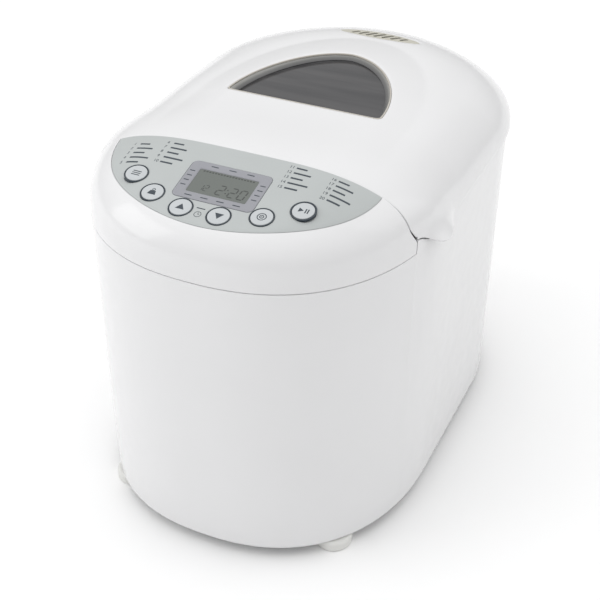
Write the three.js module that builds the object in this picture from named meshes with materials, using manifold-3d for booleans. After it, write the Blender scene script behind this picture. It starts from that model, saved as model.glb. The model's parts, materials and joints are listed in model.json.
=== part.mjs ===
// A home bread machine, as an assembly of separate pieces.
// Millimetres, +Z up. x = 0 is the symmetry plane, -Y is the front, and z = 0 is the table.
import * as THREE from 'three';
import { mergeVertices } from 'three/addons/utils/BufferGeometryUtils.js';
import Module from 'manifold-3d';

const wasm = await Module();
wasm.setup();

// ---------------------------------------------------------------- driving dimensions

const HALF_WIDTH = 125; // body at the seam
const FRONT_ARC = { y: -52, reach: 142.3, power: 2.32 }; // front of the plan outline
const REAR_ARC = { y: 60, reach: 133.6, power: 2 }; // rear of the plan outline
const TAPER = 2.6; // how far the body draws in at its foot
const BODY_FOOT_Z = 9;
const SEAM_Z = 234; // split between the lower housing and the top cover
const WALL = 3;
const SKIN = 2.5; // wall of the lid and of the console
const GAP = 0.3; // clearance between pieces that touch

const SPLIT_Y = -108; // split between the console and the lid
const DOME = { height: 53, power: 3.3 };
const PANEL_TILT = THREE.MathUtils.degToRad(13);
const PANEL_CENTRE = new THREE.Vector3(0, -143, 277.1); // on the panel's top face

const LID_OVERHANG = 2;
const LID_RIM_Z = 237;
const LID_EDGE = { side: 257, rear: 240.6, width: 29, bulge: 19.8 }; // the lid's shoulder, lower towards the rear
const LID_CREST = { front: 49, plateau: 281.3, drop: 4.6 };
const PLATEAU = { y: -24, halfWidth: 127, length: 219, flat: 0.44, crease: 0.64 };
const WINDOW = { y: -17, halfWidth: 60, length: 92, front: -21.5, power: 1.75 };
const VENT = { y: 130, tip: 33, front: 117, back: 147 };
const GLASS_Z = 272.4;
const HINGE = { y: 190, z: 240.5, radius: 3.3, pin: 1.5, half: 10, reach: 20 };

const PAN_Y = 37; // centre of the pan and of the baking chamber
const CHAMBER = { halfX: 88, halfY: 105, corner: 30, floor: 52, top: 230.6, sheet: 0.8 };
const PAN = { halfX: 66, halfY: 86, corner: 24, bottom: 74, top: 200, sheet: 1.2, draft: 4 };
const HANDLE = { z: 203, arm: 44, wire: 2.2 };
const SHAFT_RADIUS = 5;
const BELT = { low: 21.8, high: 27.2, thickness: 2 };
const DRIVE_PULLEY = { y: PAN_Y, radius: 40 };
const MOTOR_PULLEY = { y: -135, radius: 10 };
const BASE = { bottom: 10, top: 11.5 };
const DECK = { bottom: 231, top: 233.9 };
const BUTTON_RADIUS = 7.8;

// Centres of the six buttons on the panel, as across and up-slope from its centre.
const BUTTONS = {
  menu_button: [-60, -6.5],
  weight_button: [-40.8, -19.6],
  time_up_button: [-16.7, -26.4],
  time_down_button: [10.3, -26.4],
  colour_button: [36.8, -18.6],
  start_button: [59.4, -5.2],
};

// ---------------------------------------------------------------- materials

const plastic = (color, roughness) => new THREE.MeshStandardMaterial({ color, roughness, metalness: 0 });
const metal = (color, roughness) => new THREE.MeshStandardMaterial({ color, roughness, metalness: 1 });

const MATERIAL = {
  shell: plastic(0xf1f0ee, 0.22),
  panel: plastic(0xc6cdcc, 0.4),
  bezel: plastic(0xb9b8c4, 0.35),
  lens: plastic(0x9aa19a, 0.1),
  button: plastic(0xd3d9d9, 0.35),
  dark: plastic(0x2c2e30, 0.55),
  board: plastic(0x2f6a45, 0.6),
  grille: plastic(0xbdb9ae, 0.5),
  trim: plastic(0xc9c8c2, 0.4),
  glass: plastic(0x55565a, 0.05),
  rubber: plastic(0xe4e3df, 0.8),
  black_rubber: plastic(0x1d1d1e, 0.85),
  ceramic: plastic(0xe9e4d8, 0.7),
  steel: metal(0xb8babd, 0.35),
  sheet: metal(0xc8cacc, 0.45),
  coated: metal(0x4a4a4c, 0.5),
  sheath: metal(0x4f4c49, 0.55),
  copper: metal(0x8d6a4a, 0.5),
};

// ---------------------------------------------------------------- solids

function solid(geometry) {
  const bare = geometry.clone();
  bare.deleteAttribute('normal');
  bare.deleteAttribute('uv');
  const merged = mergeVertices(bare, 1e-4);
  return new wasm.Manifold(new wasm.Mesh({
    numProp: 3,
    vertProperties: new Float32Array(merged.attributes.position.array),
    triVerts: new Uint32Array(merged.index.array),
  }));
}

function geometryOf(manifold) {
  const mesh = manifold.getMesh();
  const geometry = new THREE.BufferGeometry();
  geometry.setAttribute('position', new THREE.BufferAttribute(new Float32Array(mesh.vertProperties), 3));
  geometry.setIndex(new THREE.BufferAttribute(new Uint32Array(mesh.triVerts), 1));
  geometry.computeVertexNormals();
  return geometry;
}

const joined = (...pieces) => pieces.reduce((all, piece) => all.add(piece));
const cut = (body, ...tools) => tools.reduce((rest, tool) => rest.subtract(tool), body);

// A box between two corners.
function box(low, high) {
  const size = high.map((value, i) => value - low[i]);
  const middle = high.map((value, i) => (value + low[i]) / 2);
  return solid(new THREE.BoxGeometry(...size).translate(...middle));
}

// A shape in the XY plane, pulled up from z = low to z = high.
function prism(shape, low, high, segments = 8) {
  const options = { depth: high - low, bevelEnabled: false, curveSegments: segments };
  return new THREE.ExtrudeGeometry(shape, options).translate(0, 0, low);
}

// A profile of [radius, z] points turned about the Z axis through (x, y).
function turned(profile, x = 0, y = 0, segments = 16) {
  const points = profile.map(([radius, z]) => new THREE.Vector2(radius, z));
  return new THREE.LatheGeometry(points, segments).rotateX(Math.PI / 2).translate(x, y, 0);
}

// A plain round bar along Z.
function bar(radius, low, high, x = 0, y = 0, segments = 16) {
  return turned([[0, low], [radius, low], [radius, high], [0, high]], x, y, segments);
}

// A round tube along Z. Its profile closes on itself.
function tube(inner, outer, low, high, x = 0, y = 0, segments = 16) {
  return turned([[inner, low], [outer, low], [outer, high], [inner, high], [inner, low]], x, y, segments);
}

function roundedRectangle(halfX, halfY, corner, centreY = 0) {
  const shape = new THREE.Shape();
  const [x, y, r] = [halfX, halfY, corner];
  shape.absarc(x - r, centreY + y - r, r, 0, Math.PI / 2);
  shape.absarc(r - x, centreY + y - r, r, Math.PI / 2, Math.PI);
  shape.absarc(r - x, centreY + r - y, r, Math.PI, 1.5 * Math.PI);
  shape.absarc(x - r, centreY + r - y, r, 1.5 * Math.PI, 2 * Math.PI);
  return shape;
}

// Rings of points, each anticlockwise from above and all of one length, skinned from low to high.
function loft(rings) {
  const count = rings[0].length;
  const vertices = rings.flat(2);
  const faces = [];
  for (let level = 0; level + 1 < rings.length; level += 1) {
    for (let i = 0; i < count; i += 1) {
      const next = (i + 1) % count;
      const low = level * count;
      const high = low + count;
      faces.push(low + i, low + next, high + next, low + i, high + next, high + i);
    }
  }
  const flat = (ring) => ring.map(([x, y]) => new THREE.Vector2(x, y));
  const top = (rings.length - 1) * count;
  for (const [a, b, c] of THREE.ShapeUtils.triangulateShape(flat(rings[0]), [])) faces.push(a, c, b);
  for (const [a, b, c] of THREE.ShapeUtils.triangulateShape(flat(rings.at(-1)), [])) {
    faces.push(top + a, top + b, top + c);
  }
  const geometry = new THREE.BufferGeometry();
  geometry.setAttribute('position', new THREE.Float32BufferAttribute(vertices, 3));
  geometry.setIndex(faces);
  return geometry;
}

// ---------------------------------------------------------------- the body's plan and its surfaces

const ARC_STEPS = 14;
const SIDE_STEPS = 3;

// The plan outline as [x, y] points, offset outwards by `grow` and shrunk towards its spine by `scale`.
function outline(grow = 0, scale = 1) {
  const half = (HALF_WIDTH + grow) * scale;
  const points = [];
  const arc = ({ y, reach, power }, side) => {
    const from = side > 0 ? 0 : Math.PI;
    for (let i = 0; i < ARC_STEPS; i += 1) {
      const angle = from + (Math.PI * i) / ARC_STEPS;
      const c = Math.cos(angle);
      const s = Math.abs(Math.sin(angle));
      const x = half * Math.sign(c) * Math.abs(c) ** (2 / power);
      points.push([x, y + side * (reach + grow) * scale * s ** (2 / power)]);
    }
  };
  const straight = (x, from, to) => {
    for (let i = 0; i < SIDE_STEPS; i += 1) points.push([x, from + ((to - from) * i) / SIDE_STEPS]);
  };
  straight(half, FRONT_ARC.y, REAR_ARC.y);
  arc(REAR_ARC, 1);
  straight(-half, REAR_ARC.y, FRONT_ARC.y);
  arc(FRONT_ARC, -1);
  return points;
}

// 1 on the outline offset by `grow`, 0 on the spine.
function outlineLevel(x, y, grow) {
  const arc = y < FRONT_ARC.y ? FRONT_ARC : REAR_ARC;
  const beyond = Math.max(0, y < FRONT_ARC.y ? FRONT_ARC.y - y : y - REAR_ARC.y);
  const across = Math.abs(x) / (HALF_WIDTH + grow);
  return (across ** arc.power + (beyond / (arc.reach + grow)) ** arc.power) ** (1 / arc.power);
}

const bodyGrow = (z) => -TAPER * (SEAM_Z - z) / (SEAM_Z - BODY_FOOT_Z);
const smooth = (t) => t * t * (3 - 2 * t);
const clamp01 = (t) => THREE.MathUtils.clamp(t, 0, 1);
const mix = (a, b, t) => a + (b - a) * t;

const domeHeight = (level, height) => height * Math.max(0, 1 - level ** DOME.power) ** (1 / DOME.power);

const panelPlane = (y) => PANEL_CENTRE.z + (y - PANEL_CENTRE.y) * Math.tan(PANEL_TILT);

// The console's top: a dome cut off by the sloping panel.
function consoleZ(x, y) {
  return Math.min(SEAM_Z + domeHeight(outlineLevel(x, y, 0), DOME.height), panelPlane(y));
}

// The lid's top: a D-shaped plateau with a slope around it, running into the console's dome in front.
function lidZ(x, y) {
  const level = clamp01(outlineLevel(x, y, LID_OVERHANG));
  const front = LID_RIM_Z + domeHeight(level, LID_CREST.front);
  const back = Math.max(0, y - PLATEAU.y);
  const reach = Math.hypot(x / PLATEAU.halfWidth, back / PLATEAU.length);
  const fall = clamp01((reach - PLATEAU.flat) / (PLATEAU.crease - PLATEAU.flat)) ** 1.4;
  const plateau = LID_CREST.plateau - 0.015 * back - LID_CREST.drop * fall;
  const outside = Math.max(0, reach - PLATEAU.crease);
  const inside = 0.8 * (1 - level);
  const slope = outside > 0 ? outside / (outside + inside) : 0;
  const shoulder = mix(LID_EDGE.side, LID_EDGE.rear, clamp01((y - REAR_ARC.y) / REAR_ARC.reach) ** 1.86);
  const edge = clamp01(1 - ((1 - level) * HALF_WIDTH) / LID_EDGE.width);
  const rounding = (shoulder - LID_RIM_Z) * (1 - Math.sqrt(1 - edge * edge));
  const rear = mix(plateau, shoulder, slope) + LID_EDGE.bulge * slope * (1 - slope) - rounding;
  return mix(front, rear, smooth(clamp01((y - SPLIT_Y) / (PLATEAU.y - SPLIT_Y))));
}

const LID_LEVELS = [1, 0.985, 0.95, 0.88, 0.76, 0.62, 0.46, 0.28, 0.1];
const CONSOLE_LEVELS = [1, 0.985, 0.95, 0.9, 0.8, 0.5, 0.1];

// A closed dome: a wall up from `foot`, then rings that shrink over the surface given by `height`.
function dome(height, levels, rim, foot, overhang, inset) {
  const rings = levels.map((level) => {
    const full = outline(overhang, level);
    return outline(overhang - inset, level).map(([x, y], i) => [x, y, height(...full[i]) - inset]);
  });
  const skirt = outline(overhang - inset).map(([x, y]) => [x, y, foot]);
  rings[0] = rings[0].map(([x, y]) => [x, y, Math.max(rim - inset, foot + 1)]);
  return solid(loft([skirt, ...rings]));
}

const lidDome = (inset, foot) => dome(lidZ, LID_LEVELS, LID_RIM_Z + 0.5, foot, LID_OVERHANG, inset);
const consoleDome = (inset, foot) => dome(consoleZ, CONSOLE_LEVELS, SEAM_Z + 0.5, foot, 0, inset);

// ---------------------------------------------------------------- outlines on the panel and the lid

// The window's outline: a pointed arch with small front corners and a straight front edge.
function windowShape(grow) {
  const shape = new THREE.Shape();
  const half = WINDOW.halfWidth + grow;
  const front = WINDOW.front - grow;
  const steps = 22;
  shape.moveTo(half, WINDOW.y);
  for (let i = 1; i <= steps; i += 1) {
    const angle = (i / steps) * Math.PI;
    const across = Math.sign(Math.cos(angle)) * Math.abs(Math.cos(angle)) ** (2 / WINDOW.power);
    const along = Math.max(0, Math.sin(angle)) ** (2 / WINDOW.power);
    shape.lineTo(half * across, WINDOW.y + (WINDOW.length + grow) * along);
  }
  shape.quadraticCurveTo(-half, front, 5 - half, front);
  shape.lineTo(half - 5, front);
  shape.quadraticCurveTo(half, front, half, WINDOW.y);
  return shape;
}

// The steam vent: a lens that is bowed at the front and the back.
function ventShape(inset) {
  const shape = new THREE.Shape();
  shape.moveTo(inset * 3 - VENT.tip, VENT.y);
  shape.quadraticCurveTo(0, VENT.front + 2 * inset, VENT.tip - inset * 3, VENT.y);
  shape.quadraticCurveTo(0, VENT.back - 2 * inset, inset * 3 - VENT.tip, VENT.y);
  return shape;
}

// The control panel's overlay: the front half of an ellipse behind the split.
function overlayShape(inset) {
  const shape = new THREE.Shape();
  const back = SPLIT_Y - 1 - inset;
  shape.moveTo(inset - 101, back);
  shape.absellipse(0, back, 101 - inset, 69.3 - 2 * inset, Math.PI, 2 * Math.PI, false, 0);
  return shape;
}

// Places a solid that is drawn on the panel, with its top face at z = 0, onto the machine.
const panelMatrix = new THREE.Matrix4().makeRotationX(PANEL_TILT).setPosition(PANEL_CENTRE);
const onPanel = (geometry) => solid(geometry.applyMatrix4(panelMatrix));

// ---------------------------------------------------------------- housing

const FEET = [
  ['front_left', -84, -147],
  ['front_right', 84, -147],
  ['rear_left', -80, 128],
  ['rear_right', 80, 128],
];

const BASE_SCREWS = [
  ['front_left', -108.5, -105],
  ['front_right', 108.5, -105],
  ['rear_left', -101, 118],
  ['rear_right', 101, 118],
];

function lowerHousing() {
  const ring = (grow, z) => outline(grow).map(([x, y]) => [x, y, z]);
  const rearTop = SEAM_Z + 2.2;
  const outer = loft([
    ring(bodyGrow(BODY_FOOT_Z) - 1.5, BODY_FOOT_Z),
    ring(bodyGrow(BODY_FOOT_Z + 2), BODY_FOOT_Z + 2),
    ring(0, SEAM_Z),
    ring(0, rearTop),
  ]);
  const inner = loft([ring(-TAPER - WALL, 0), ring(-WALL, SEAM_Z), ring(-WALL, 250)]);
  const bosses = BASE_SCREWS.map(([, x, y]) => solid(tube(1.8, 6, BASE.top + GAP, 40, x, y, 10)));
  const trimmed = cut(
    solid(outer),
    solid(inner),
    box([-150, -250, SEAM_Z - GAP], [150, SPLIT_Y + 4, 260]),
    box([-40, 150, SEAM_Z - 2], [40, 210, 260]),
    solid(bar(6.3, -12, 12).rotateX(Math.PI / 2).translate(0, REAR_ARC.y + REAR_ARC.reach, 30)),
    ...rearSlots(),
  );
  return joined(trimmed, ...bosses);
}

// Cooling slots in the rear wall.
function rearSlots() {
  return Array.from({ length: 9 }, (_, i) => {
    const x = (i - 4) * 8;
    return box([x - 1.3, 170, 60], [x + 1.3, 210, 96]);
  });
}

function basePlate() {
  const plate = loft([BASE.bottom, BASE.top].map((z) => (
    outline(-TAPER - WALL - 0.5).map(([x, y]) => [x, y, z])
  )));
  const slots = Array.from({ length: 5 }, (_, i) => box([-20, -40 - 8 * i, 0], [20, -37.5 - 8 * i, 30]));
  const holes = [
    ...FEET.map(([, x, y]) => solid(bar(4.3, 0, 30, x, y, 10))),
    ...BASE_SCREWS.map(([, x, y]) => solid(bar(2, 0, 30, x, y, 8))),
  ];
  return cut(solid(plate), ...holes, ...slots);
}

const foot = () => turned([
  [0, 0], [13, 0], [14, 1], [14, 7], [12.5, 8.6], [6, 8.6], [6, 9.7], [4, 9.7], [4, 14], [0, 14],
], 0, 0, 10);

const baseScrew = () => turned([
  [0, 7.3], [3, 7.3], [3.5, 8], [3.5, 9.7], [1.5, 9.7], [1.5, 28], [0, 28],
], 0, 0, 8);

// The console shell, its rear wall and the deck around the baking chamber, in one moulding.
function topCover() {
  const rearWall = SPLIT_Y - GAP;
  const shell = cut(
    consoleDome(0, SEAM_Z + 0.2),
    cut(consoleDome(SKIN + 0.7, 200), box([-150, rearWall - SKIN, 150], [150, 250, 300])),
    box([-150, rearWall, 200], [150, 250, 320]),
  );
  const deckRing = loft([DECK.bottom, DECK.top].map((z) => (
    outline(-WALL - 0.5).map(([x, y]) => [x, y, z])
  )));
  const wallFoot = box([-112, rearWall - SKIN, DECK.bottom], [112, rearWall, SEAM_Z + 6]);
  const deck = cut(
    solid(deckRing),
    box([-150, -250, 200], [150, rearWall - SKIN, 260]),
    solid(prism(roundedRectangle(CHAMBER.halfX - CHAMBER.sheet, CHAMBER.halfY - CHAMBER.sheet,
      CHAMBER.corner - CHAMBER.sheet, PAN_Y), 200, 260, 4)),
  );
  const recess = cut(
    solid(prism(overlayShape(-0.5), 240, 300, 10)),
    consoleDome(0, 200).translate(0, 0, -1),
  );
  const buttonHoles = Object.values(BUTTONS).flatMap(([u, v]) => [
    onPanel(bar(BUTTON_RADIUS + 0.6, -9, 5, u, v, 12)),
    onPanel(bar(BUTTON_RADIUS + 2.4, -14, -3.4, u, v, 10)),
  ]);
  const lcdHole = onPanel(prism(roundedRectangle(23, 13, 2), -9, 5, 3));
  return cut(joined(shell, wallFoot, deck, hingeLug()), recess, ...buttonHoles, lcdHole, hingeBore());
}

const alongX = (radius, from, to, segments = 20) => solid(
  bar(radius, from, to, 0, 0, segments).rotateY(Math.PI / 2).translate(0, HINGE.y, HINGE.z),
);
const hingeBore = () => alongX(HINGE.pin + GAP, -HINGE.reach - 2, HINGE.reach + 2, 12);

function hingeLug() {
  const web = box([-HINGE.half, HINGE.y - 3, DECK.bottom], [HINGE.half, HINGE.y - 1.2, HINGE.z]);
  return joined(web, alongX(HINGE.radius, -HINGE.half, HINGE.half));
}

function panelOverlay() {
  const blank = cut(
    solid(prism(overlayShape(0), 240, 300, 10)).intersect(consoleDome(0, 200)),
    consoleDome(0, 200).translate(0, 0, -0.75),
  );
  const holes = Object.values(BUTTONS).map(([u, v]) => onPanel(bar(BUTTON_RADIUS + 0.6, -9, 5, u, v, 12)));
  return cut(blank, ...holes, onPanel(prism(roundedRectangle(29.3, 17.8, 4.3), -9, 5, 4)));
}

const displayBezel = () => cut(
  solid(prism(roundedRectangle(29, 17.5, 4), -0.65, 0.2, 4)),
  solid(prism(roundedRectangle(21.8, 11.4, 1.2), -5, 5, 3)),
);

const displayLens = () => prism(roundedRectangle(21.4, 11, 1), -1.1, -0.3, 3);

const lcdModule = () => joined(
  solid(prism(roundedRectangle(27, 16, 1), -12, -4.4, 2)),
  solid(prism(roundedRectangle(21, 10.6, 0.6), -4.5, -1.5, 2)),
);

function controlBoard() {
  const plate = new THREE.Shape([[-80, 20], [-80, -8], [-48, -33], [48, -33], [80, -8], [80, 20]]
    .map(([x, y]) => new THREE.Vector2(x, y)));
  const postCentres = [[-58, 11], [58, 11], [-33, -4], [33, -4]];
  const posts = postCentres.map(([x, y]) => solid(bar(2.5, -13.5, -5, x, y, 10)));
  const switches = Object.values(BUTTONS).map(([u, v]) => box([u - 3, v - 3, -13], [u + 3, v + 3, -8.4]));
  return joined(solid(prism(plate, -14, -12.4, 1)), ...posts, ...switches);
}

// One key: a round cap with a retaining flange and a stem that meets its switch.
function button(radius) {
  return turned([
    [0, -7.3], [2, -7.3], [2, -5.6], [radius + 1.8, -5.6], [radius + 1.8, -3.9],
    [radius, -3.9], [radius, 0.2], [radius - 0.6, 0.75], [0, 0.9],
  ], 0, 0, 12);
}

// ---------------------------------------------------------------- baking chamber and heater

const HEATER = { halfX: 76, halfY: 95, corner: 26, z: 66, radius: 3.2, lead: 12 };
const CHAMBER_FRONT = PAN_Y - CHAMBER.halfY;

function bakingChamber() {
  const { halfX, halfY, corner, floor, top, sheet } = CHAMBER;
  const outer = prism(roundedRectangle(halfX, halfY, corner, PAN_Y), floor, top, 4);
  const flange = prism(roundedRectangle(halfX + 6, halfY + 6, corner + 6, PAN_Y), top - sheet, top, 4);
  const inner = prism(
    roundedRectangle(halfX - sheet, halfY - sheet, corner - sheet, PAN_Y), floor + sheet, top + 5, 4);
  const leads = [-HEATER.lead, HEATER.lead].map((x) => solid(
    bar(6.8, -10, 10, 0, 0, 10).rotateX(Math.PI / 2).translate(x, CHAMBER_FRONT, HEATER.z),
  ));
  const sensor = solid(bar(3.5, -10, 10, 0, 0, 8).rotateY(Math.PI / 2).translate(-halfX, PAN_Y, 120));
  const shaftHole = solid(bar(14, 40, 60, 0, PAN_Y));
  return cut(joined(solid(outer), solid(flange)), solid(inner), shaftHole, ...leads, sensor);
}

// The heater's path: in through the front wall, round the chamber and out again.
function heaterPath() {
  const { halfX, halfY, corner, z, lead } = HEATER;
  const front = PAN_Y - halfY;
  const back = PAN_Y + halfY;
  const path = new THREE.CurvePath();
  const at = (x, y) => new THREE.Vector3(x, y, z);
  const line = (a, b) => path.add(new THREE.LineCurve3(a, b));
  const bend = (a, corner3, b) => path.add(new THREE.QuadraticBezierCurve3(a, corner3, b));
  line(at(-lead, CHAMBER_FRONT - 16), at(-lead, front - 5));
  bend(at(-lead, front - 5), at(-lead, front), at(-lead - 8, front));
  line(at(-lead - 8, front), at(corner - halfX, front));
  bend(at(corner - halfX, front), at(-halfX, front), at(-halfX, front + corner));
  line(at(-halfX, front + corner), at(-halfX, back - corner));
  bend(at(-halfX, back - corner), at(-halfX, back), at(corner - halfX, back));
  line(at(corner - halfX, back), at(halfX - corner, back));
  bend(at(halfX - corner, back), at(halfX, back), at(halfX, back - corner));
  line(at(halfX, back - corner), at(halfX, front + corner));
  bend(at(halfX, front + corner), at(halfX, front), at(halfX - corner, front));
  line(at(halfX - corner, front), at(lead + 8, front));
  bend(at(lead + 8, front), at(lead, front), at(lead, front - 5));
  line(at(lead, front - 5), at(lead, CHAMBER_FRONT - 16));
  return path;
}

function heatingElement() {
  const section = new THREE.Shape().absarc(0, 0, HEATER.radius, 0, 2 * Math.PI);
  const options = { steps: 56, curveSegments: 3, extrudePath: heaterPath(), bevelEnabled: false };
  return new THREE.ExtrudeGeometry(section, options);
}

const heaterInsulator = () => turned(
  [[3.8, -1.5], [6.3, -1.5], [6.3, 0.5], [9, 0.5], [9, 5], [3.8, 5], [3.8, -1.5]], 0, 0, 12,
).rotateX(Math.PI / 2);

const temperatureSensor = () => turned(
  [[0, -12], [2.4, -12], [3, -11], [3, 0.4], [7, 0.4], [7, 2.4], [3, 2.4], [3, 7], [0, 7]], 0, 0, 12,
).rotateY(-Math.PI / 2);

const panSeat = () => tube(33, 40, CHAMBER.floor + CHAMBER.sheet + GAP, 61.7, 0, PAN_Y, 16);

const bearingHousing = () => turned([
  [SHAFT_RADIUS + GAP, 32], [12, 32], [12, 48], [24, 48], [24, 51.7],
  [13, 51.7], [13, 57], [SHAFT_RADIUS + GAP, 57], [SHAFT_RADIUS + GAP, 32],
], 0, PAN_Y);

// A folded bracket that carries the chamber on the base plate. It is drawn for the right side.
function chamberBracket() {
  const foot = BASE.top + GAP;
  const head = CHAMBER.floor - GAP;
  return joined(
    box([52, PAN_Y - 30, foot], [72, PAN_Y + 30, foot + 2]),
    box([70, PAN_Y - 30, foot], [72, PAN_Y + 30, head]),
    box([70, PAN_Y - 30, head - 2], [84, PAN_Y + 30, head]),
  );
}

// ---------------------------------------------------------------- pan and paddle

function panShell(inset, low, high) {
  const { halfX, halfY, corner, draft } = PAN;
  const ring = (shrink, z) => roundedRectangle(halfX - shrink, halfY - shrink, corner - inset, PAN_Y)
    .getPoints(4).slice(0, -1).map(({ x, y }) => [x, y, z]);
  return solid(loft([ring(draft + inset, low), ring(inset, high)]));
}

function breadPan() {
  const { bottom, top, sheet, halfX, halfY, corner } = PAN;
  const rim = prism(roundedRectangle(halfX + 2.5, halfY + 2.5, corner + 2.5, PAN_Y), top - 2.5, top, 4);
  const ear = (side) => cut(
    box([side * 67.8 - 0.8, PAN_Y - 7, top - 2], [side * 67.8 + 0.8, PAN_Y + 7, HANDLE.z + 5]),
    solid(bar(2.6, -6, 6, 0, 0, 12).rotateY(Math.PI / 2).translate(side * 68, PAN_Y, HANDLE.z)),
  );
  const outside = joined(panShell(0, bottom, top), solid(rim));
  const bushHole = solid(bar(9.3, 60, 90, 0, PAN_Y));
  const body = cut(outside, panShell(sheet, bottom + sheet, top + 1), bushHole);
  return joined(body, ear(-1), ear(1));
}

const panBase = () => tube(33, 38, 62, PAN.bottom - GAP, 0, PAN_Y, 16);

const panBush = () => turned([
  [4.3, 67], [12, 67], [12, 73.6], [9, 73.6], [9, 79], [4.3, 79], [4.3, 67],
], 0, PAN_Y, 20);

// The pan's bail: a bent wire, drawn folded back over the rim.
function panHandle() {
  const { z, arm, wire } = HANDLE;
  const reach = 72.5;
  const path = new THREE.CurvePath();
  const at = (x, y) => new THREE.Vector3(x, y, z);
  const side = (s) => [at(s * 64.5, PAN_Y), at(s * (reach - 3), PAN_Y), at(s * reach, PAN_Y),
    at(s * reach, PAN_Y + 3), at(s * reach, PAN_Y + arm - 10), at(s * reach, PAN_Y + arm),
    at(s * (reach - 10), PAN_Y + arm)];
  const [l, r] = [side(-1), side(1)];
  path.add(new THREE.LineCurve3(l[0], l[1]));
  path.add(new THREE.QuadraticBezierCurve3(l[1], l[2], l[3]));
  path.add(new THREE.LineCurve3(l[3], l[4]));
  path.add(new THREE.QuadraticBezierCurve3(l[4], l[5], l[6]));
  path.add(new THREE.LineCurve3(l[6], r[6]));
  path.add(new THREE.QuadraticBezierCurve3(r[6], r[5], r[4]));
  path.add(new THREE.LineCurve3(r[4], r[3]));
  path.add(new THREE.QuadraticBezierCurve3(r[3], r[2], r[1]));
  path.add(new THREE.LineCurve3(r[1], r[0]));
  const section = new THREE.Shape().absarc(0, 0, wire, 0, 2 * Math.PI);
  return new THREE.ExtrudeGeometry(section, {
    steps: 36, curveSegments: 3, extrudePath: path, bevelEnabled: false,
  });
}

const panShaft = () => bar(4, 62, 100, 0, PAN_Y, 16);

// The wing under the pan that the drive coupling's two dogs turn.
const panCoupling = () => cut(
  joined(box([-12, PAN_Y - 3, 61.6], [12, PAN_Y + 3, 66.5]), solid(bar(5.8, 61.6, 66.5, 0, PAN_Y))),
  solid(bar(4.3, 50, 80, 0, PAN_Y, 16)),
);

function kneadingPaddle() {
  const hub = turned([
    [4.3, 79.4], [10, 79.4], [10.5, 82], [9, 103], [6, 106], [0, 106], [0, 101], [4.3, 101], [4.3, 79.4],
  ], 0, PAN_Y);
  const blade = new THREE.Shape();
  blade.moveTo(6, 80);
  blade.lineTo(44, 80);
  blade.quadraticCurveTo(52, 82, 47, 92);
  blade.quadraticCurveTo(36, 112, 18, 108);
  blade.lineTo(6, 100);
  const fin = new THREE.ExtrudeGeometry(blade, { depth: 5, bevelEnabled: false, curveSegments: 6 })
    .rotateX(Math.PI / 2).translate(0, PAN_Y + 2.5, 0);
  return cut(joined(solid(hub), solid(fin)), solid(bar(4.3, 60, 101, 0, PAN_Y)));
}

// ---------------------------------------------------------------- drive

const driveShaft = () => bar(SHAFT_RADIUS, 17, 60, 0, PAN_Y, 20);

const driveCoupling = () => joined(
  solid(tube(SHAFT_RADIUS + GAP, 13, 57.5, 61, 0, PAN_Y, 20)),
  box([-3, PAN_Y + 6.6, 60], [3, PAN_Y + 12, 66]),
  box([-3, PAN_Y - 12, 60], [3, PAN_Y - 6.6, 66]),
);

// A flat-belt pulley with two low flanges.
const pulley = ({ y, radius }, bore, segments) => turned([
  [bore, 19.5], [radius + 2.6, 19.5], [radius + 2.6, 21], [radius, 21.2], [radius, 27.8],
  [radius + 2.6, 28], [radius + 2.6, 29.5], [bore, 29.5], [bore, 19.5],
], 0, y, segments);

function drivePulley() {
  const holes = [45, 135, 225, 315].map((degrees) => {
    const angle = THREE.MathUtils.degToRad(degrees);
    return solid(bar(9, 10, 40, 24 * Math.cos(angle), PAN_Y + 24 * Math.sin(angle), 8));
  });
  return cut(solid(pulley(DRIVE_PULLEY, SHAFT_RADIUS + GAP, 24)), ...holes);
}

// The outline of a belt that runs `clear` outside both pulleys.
function beltOutline(clear) {
  const [big, small] = [DRIVE_PULLEY, MOTOR_PULLEY];
  const lean = Math.asin((big.radius - small.radius) / (big.y - small.y));
  const shape = new THREE.Shape();
  shape.absarc(0, big.y, big.radius + clear, -lean, Math.PI + lean);
  shape.absarc(0, small.y, small.radius + clear, Math.PI + lean, 2 * Math.PI - lean);
  return shape;
}

const driveBelt = () => cut(
  solid(prism(beltOutline(GAP + BELT.thickness), BELT.low, BELT.high, 8)),
  solid(prism(beltOutline(GAP), 0, 50, 8)),
);

const motorShaft = () => bar(4, 17, 108, 0, MOTOR_PULLEY.y, 16);

function motorBody() {
  const { y } = MOTOR_PULLEY;
  const bell = (low, high) => solid(bar(27, low, high, 0, y));
  const core = prism(roundedRectangle(31, 31, 6, y), 52, 86, 2);
  const bearings = solid(bar(9, 38.8, 106, 0, y, 20));
  const bore = solid(bar(4.4, 10, 120, 0, y, 16));
  return cut(joined(solid(core), bell(41, 53), bell(85, 100), bearings), bore);
}

function motorBracket() {
  const { y } = MOTOR_PULLEY;
  const plate = box([-42, y - 34, 36], [42, y + 34, 38.4]);
  const legs = [[-38, -30], [38, -30], [-38, 30], [38, 30]].map(([x, dy]) => (
    box([x - 4, y + dy - 4, BASE.top + GAP], [x + 4, y + dy + 4, 37])
  ));
  return cut(joined(plate, ...legs), solid(bar(10, 10, 60, 0, y, 16)));
}

const motorCapacitor = () => turned([
  [0, BASE.top + GAP], [15, BASE.top + GAP], [15, 56], [13, 58], [0, 58],
], 66, -118, 20);

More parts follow.
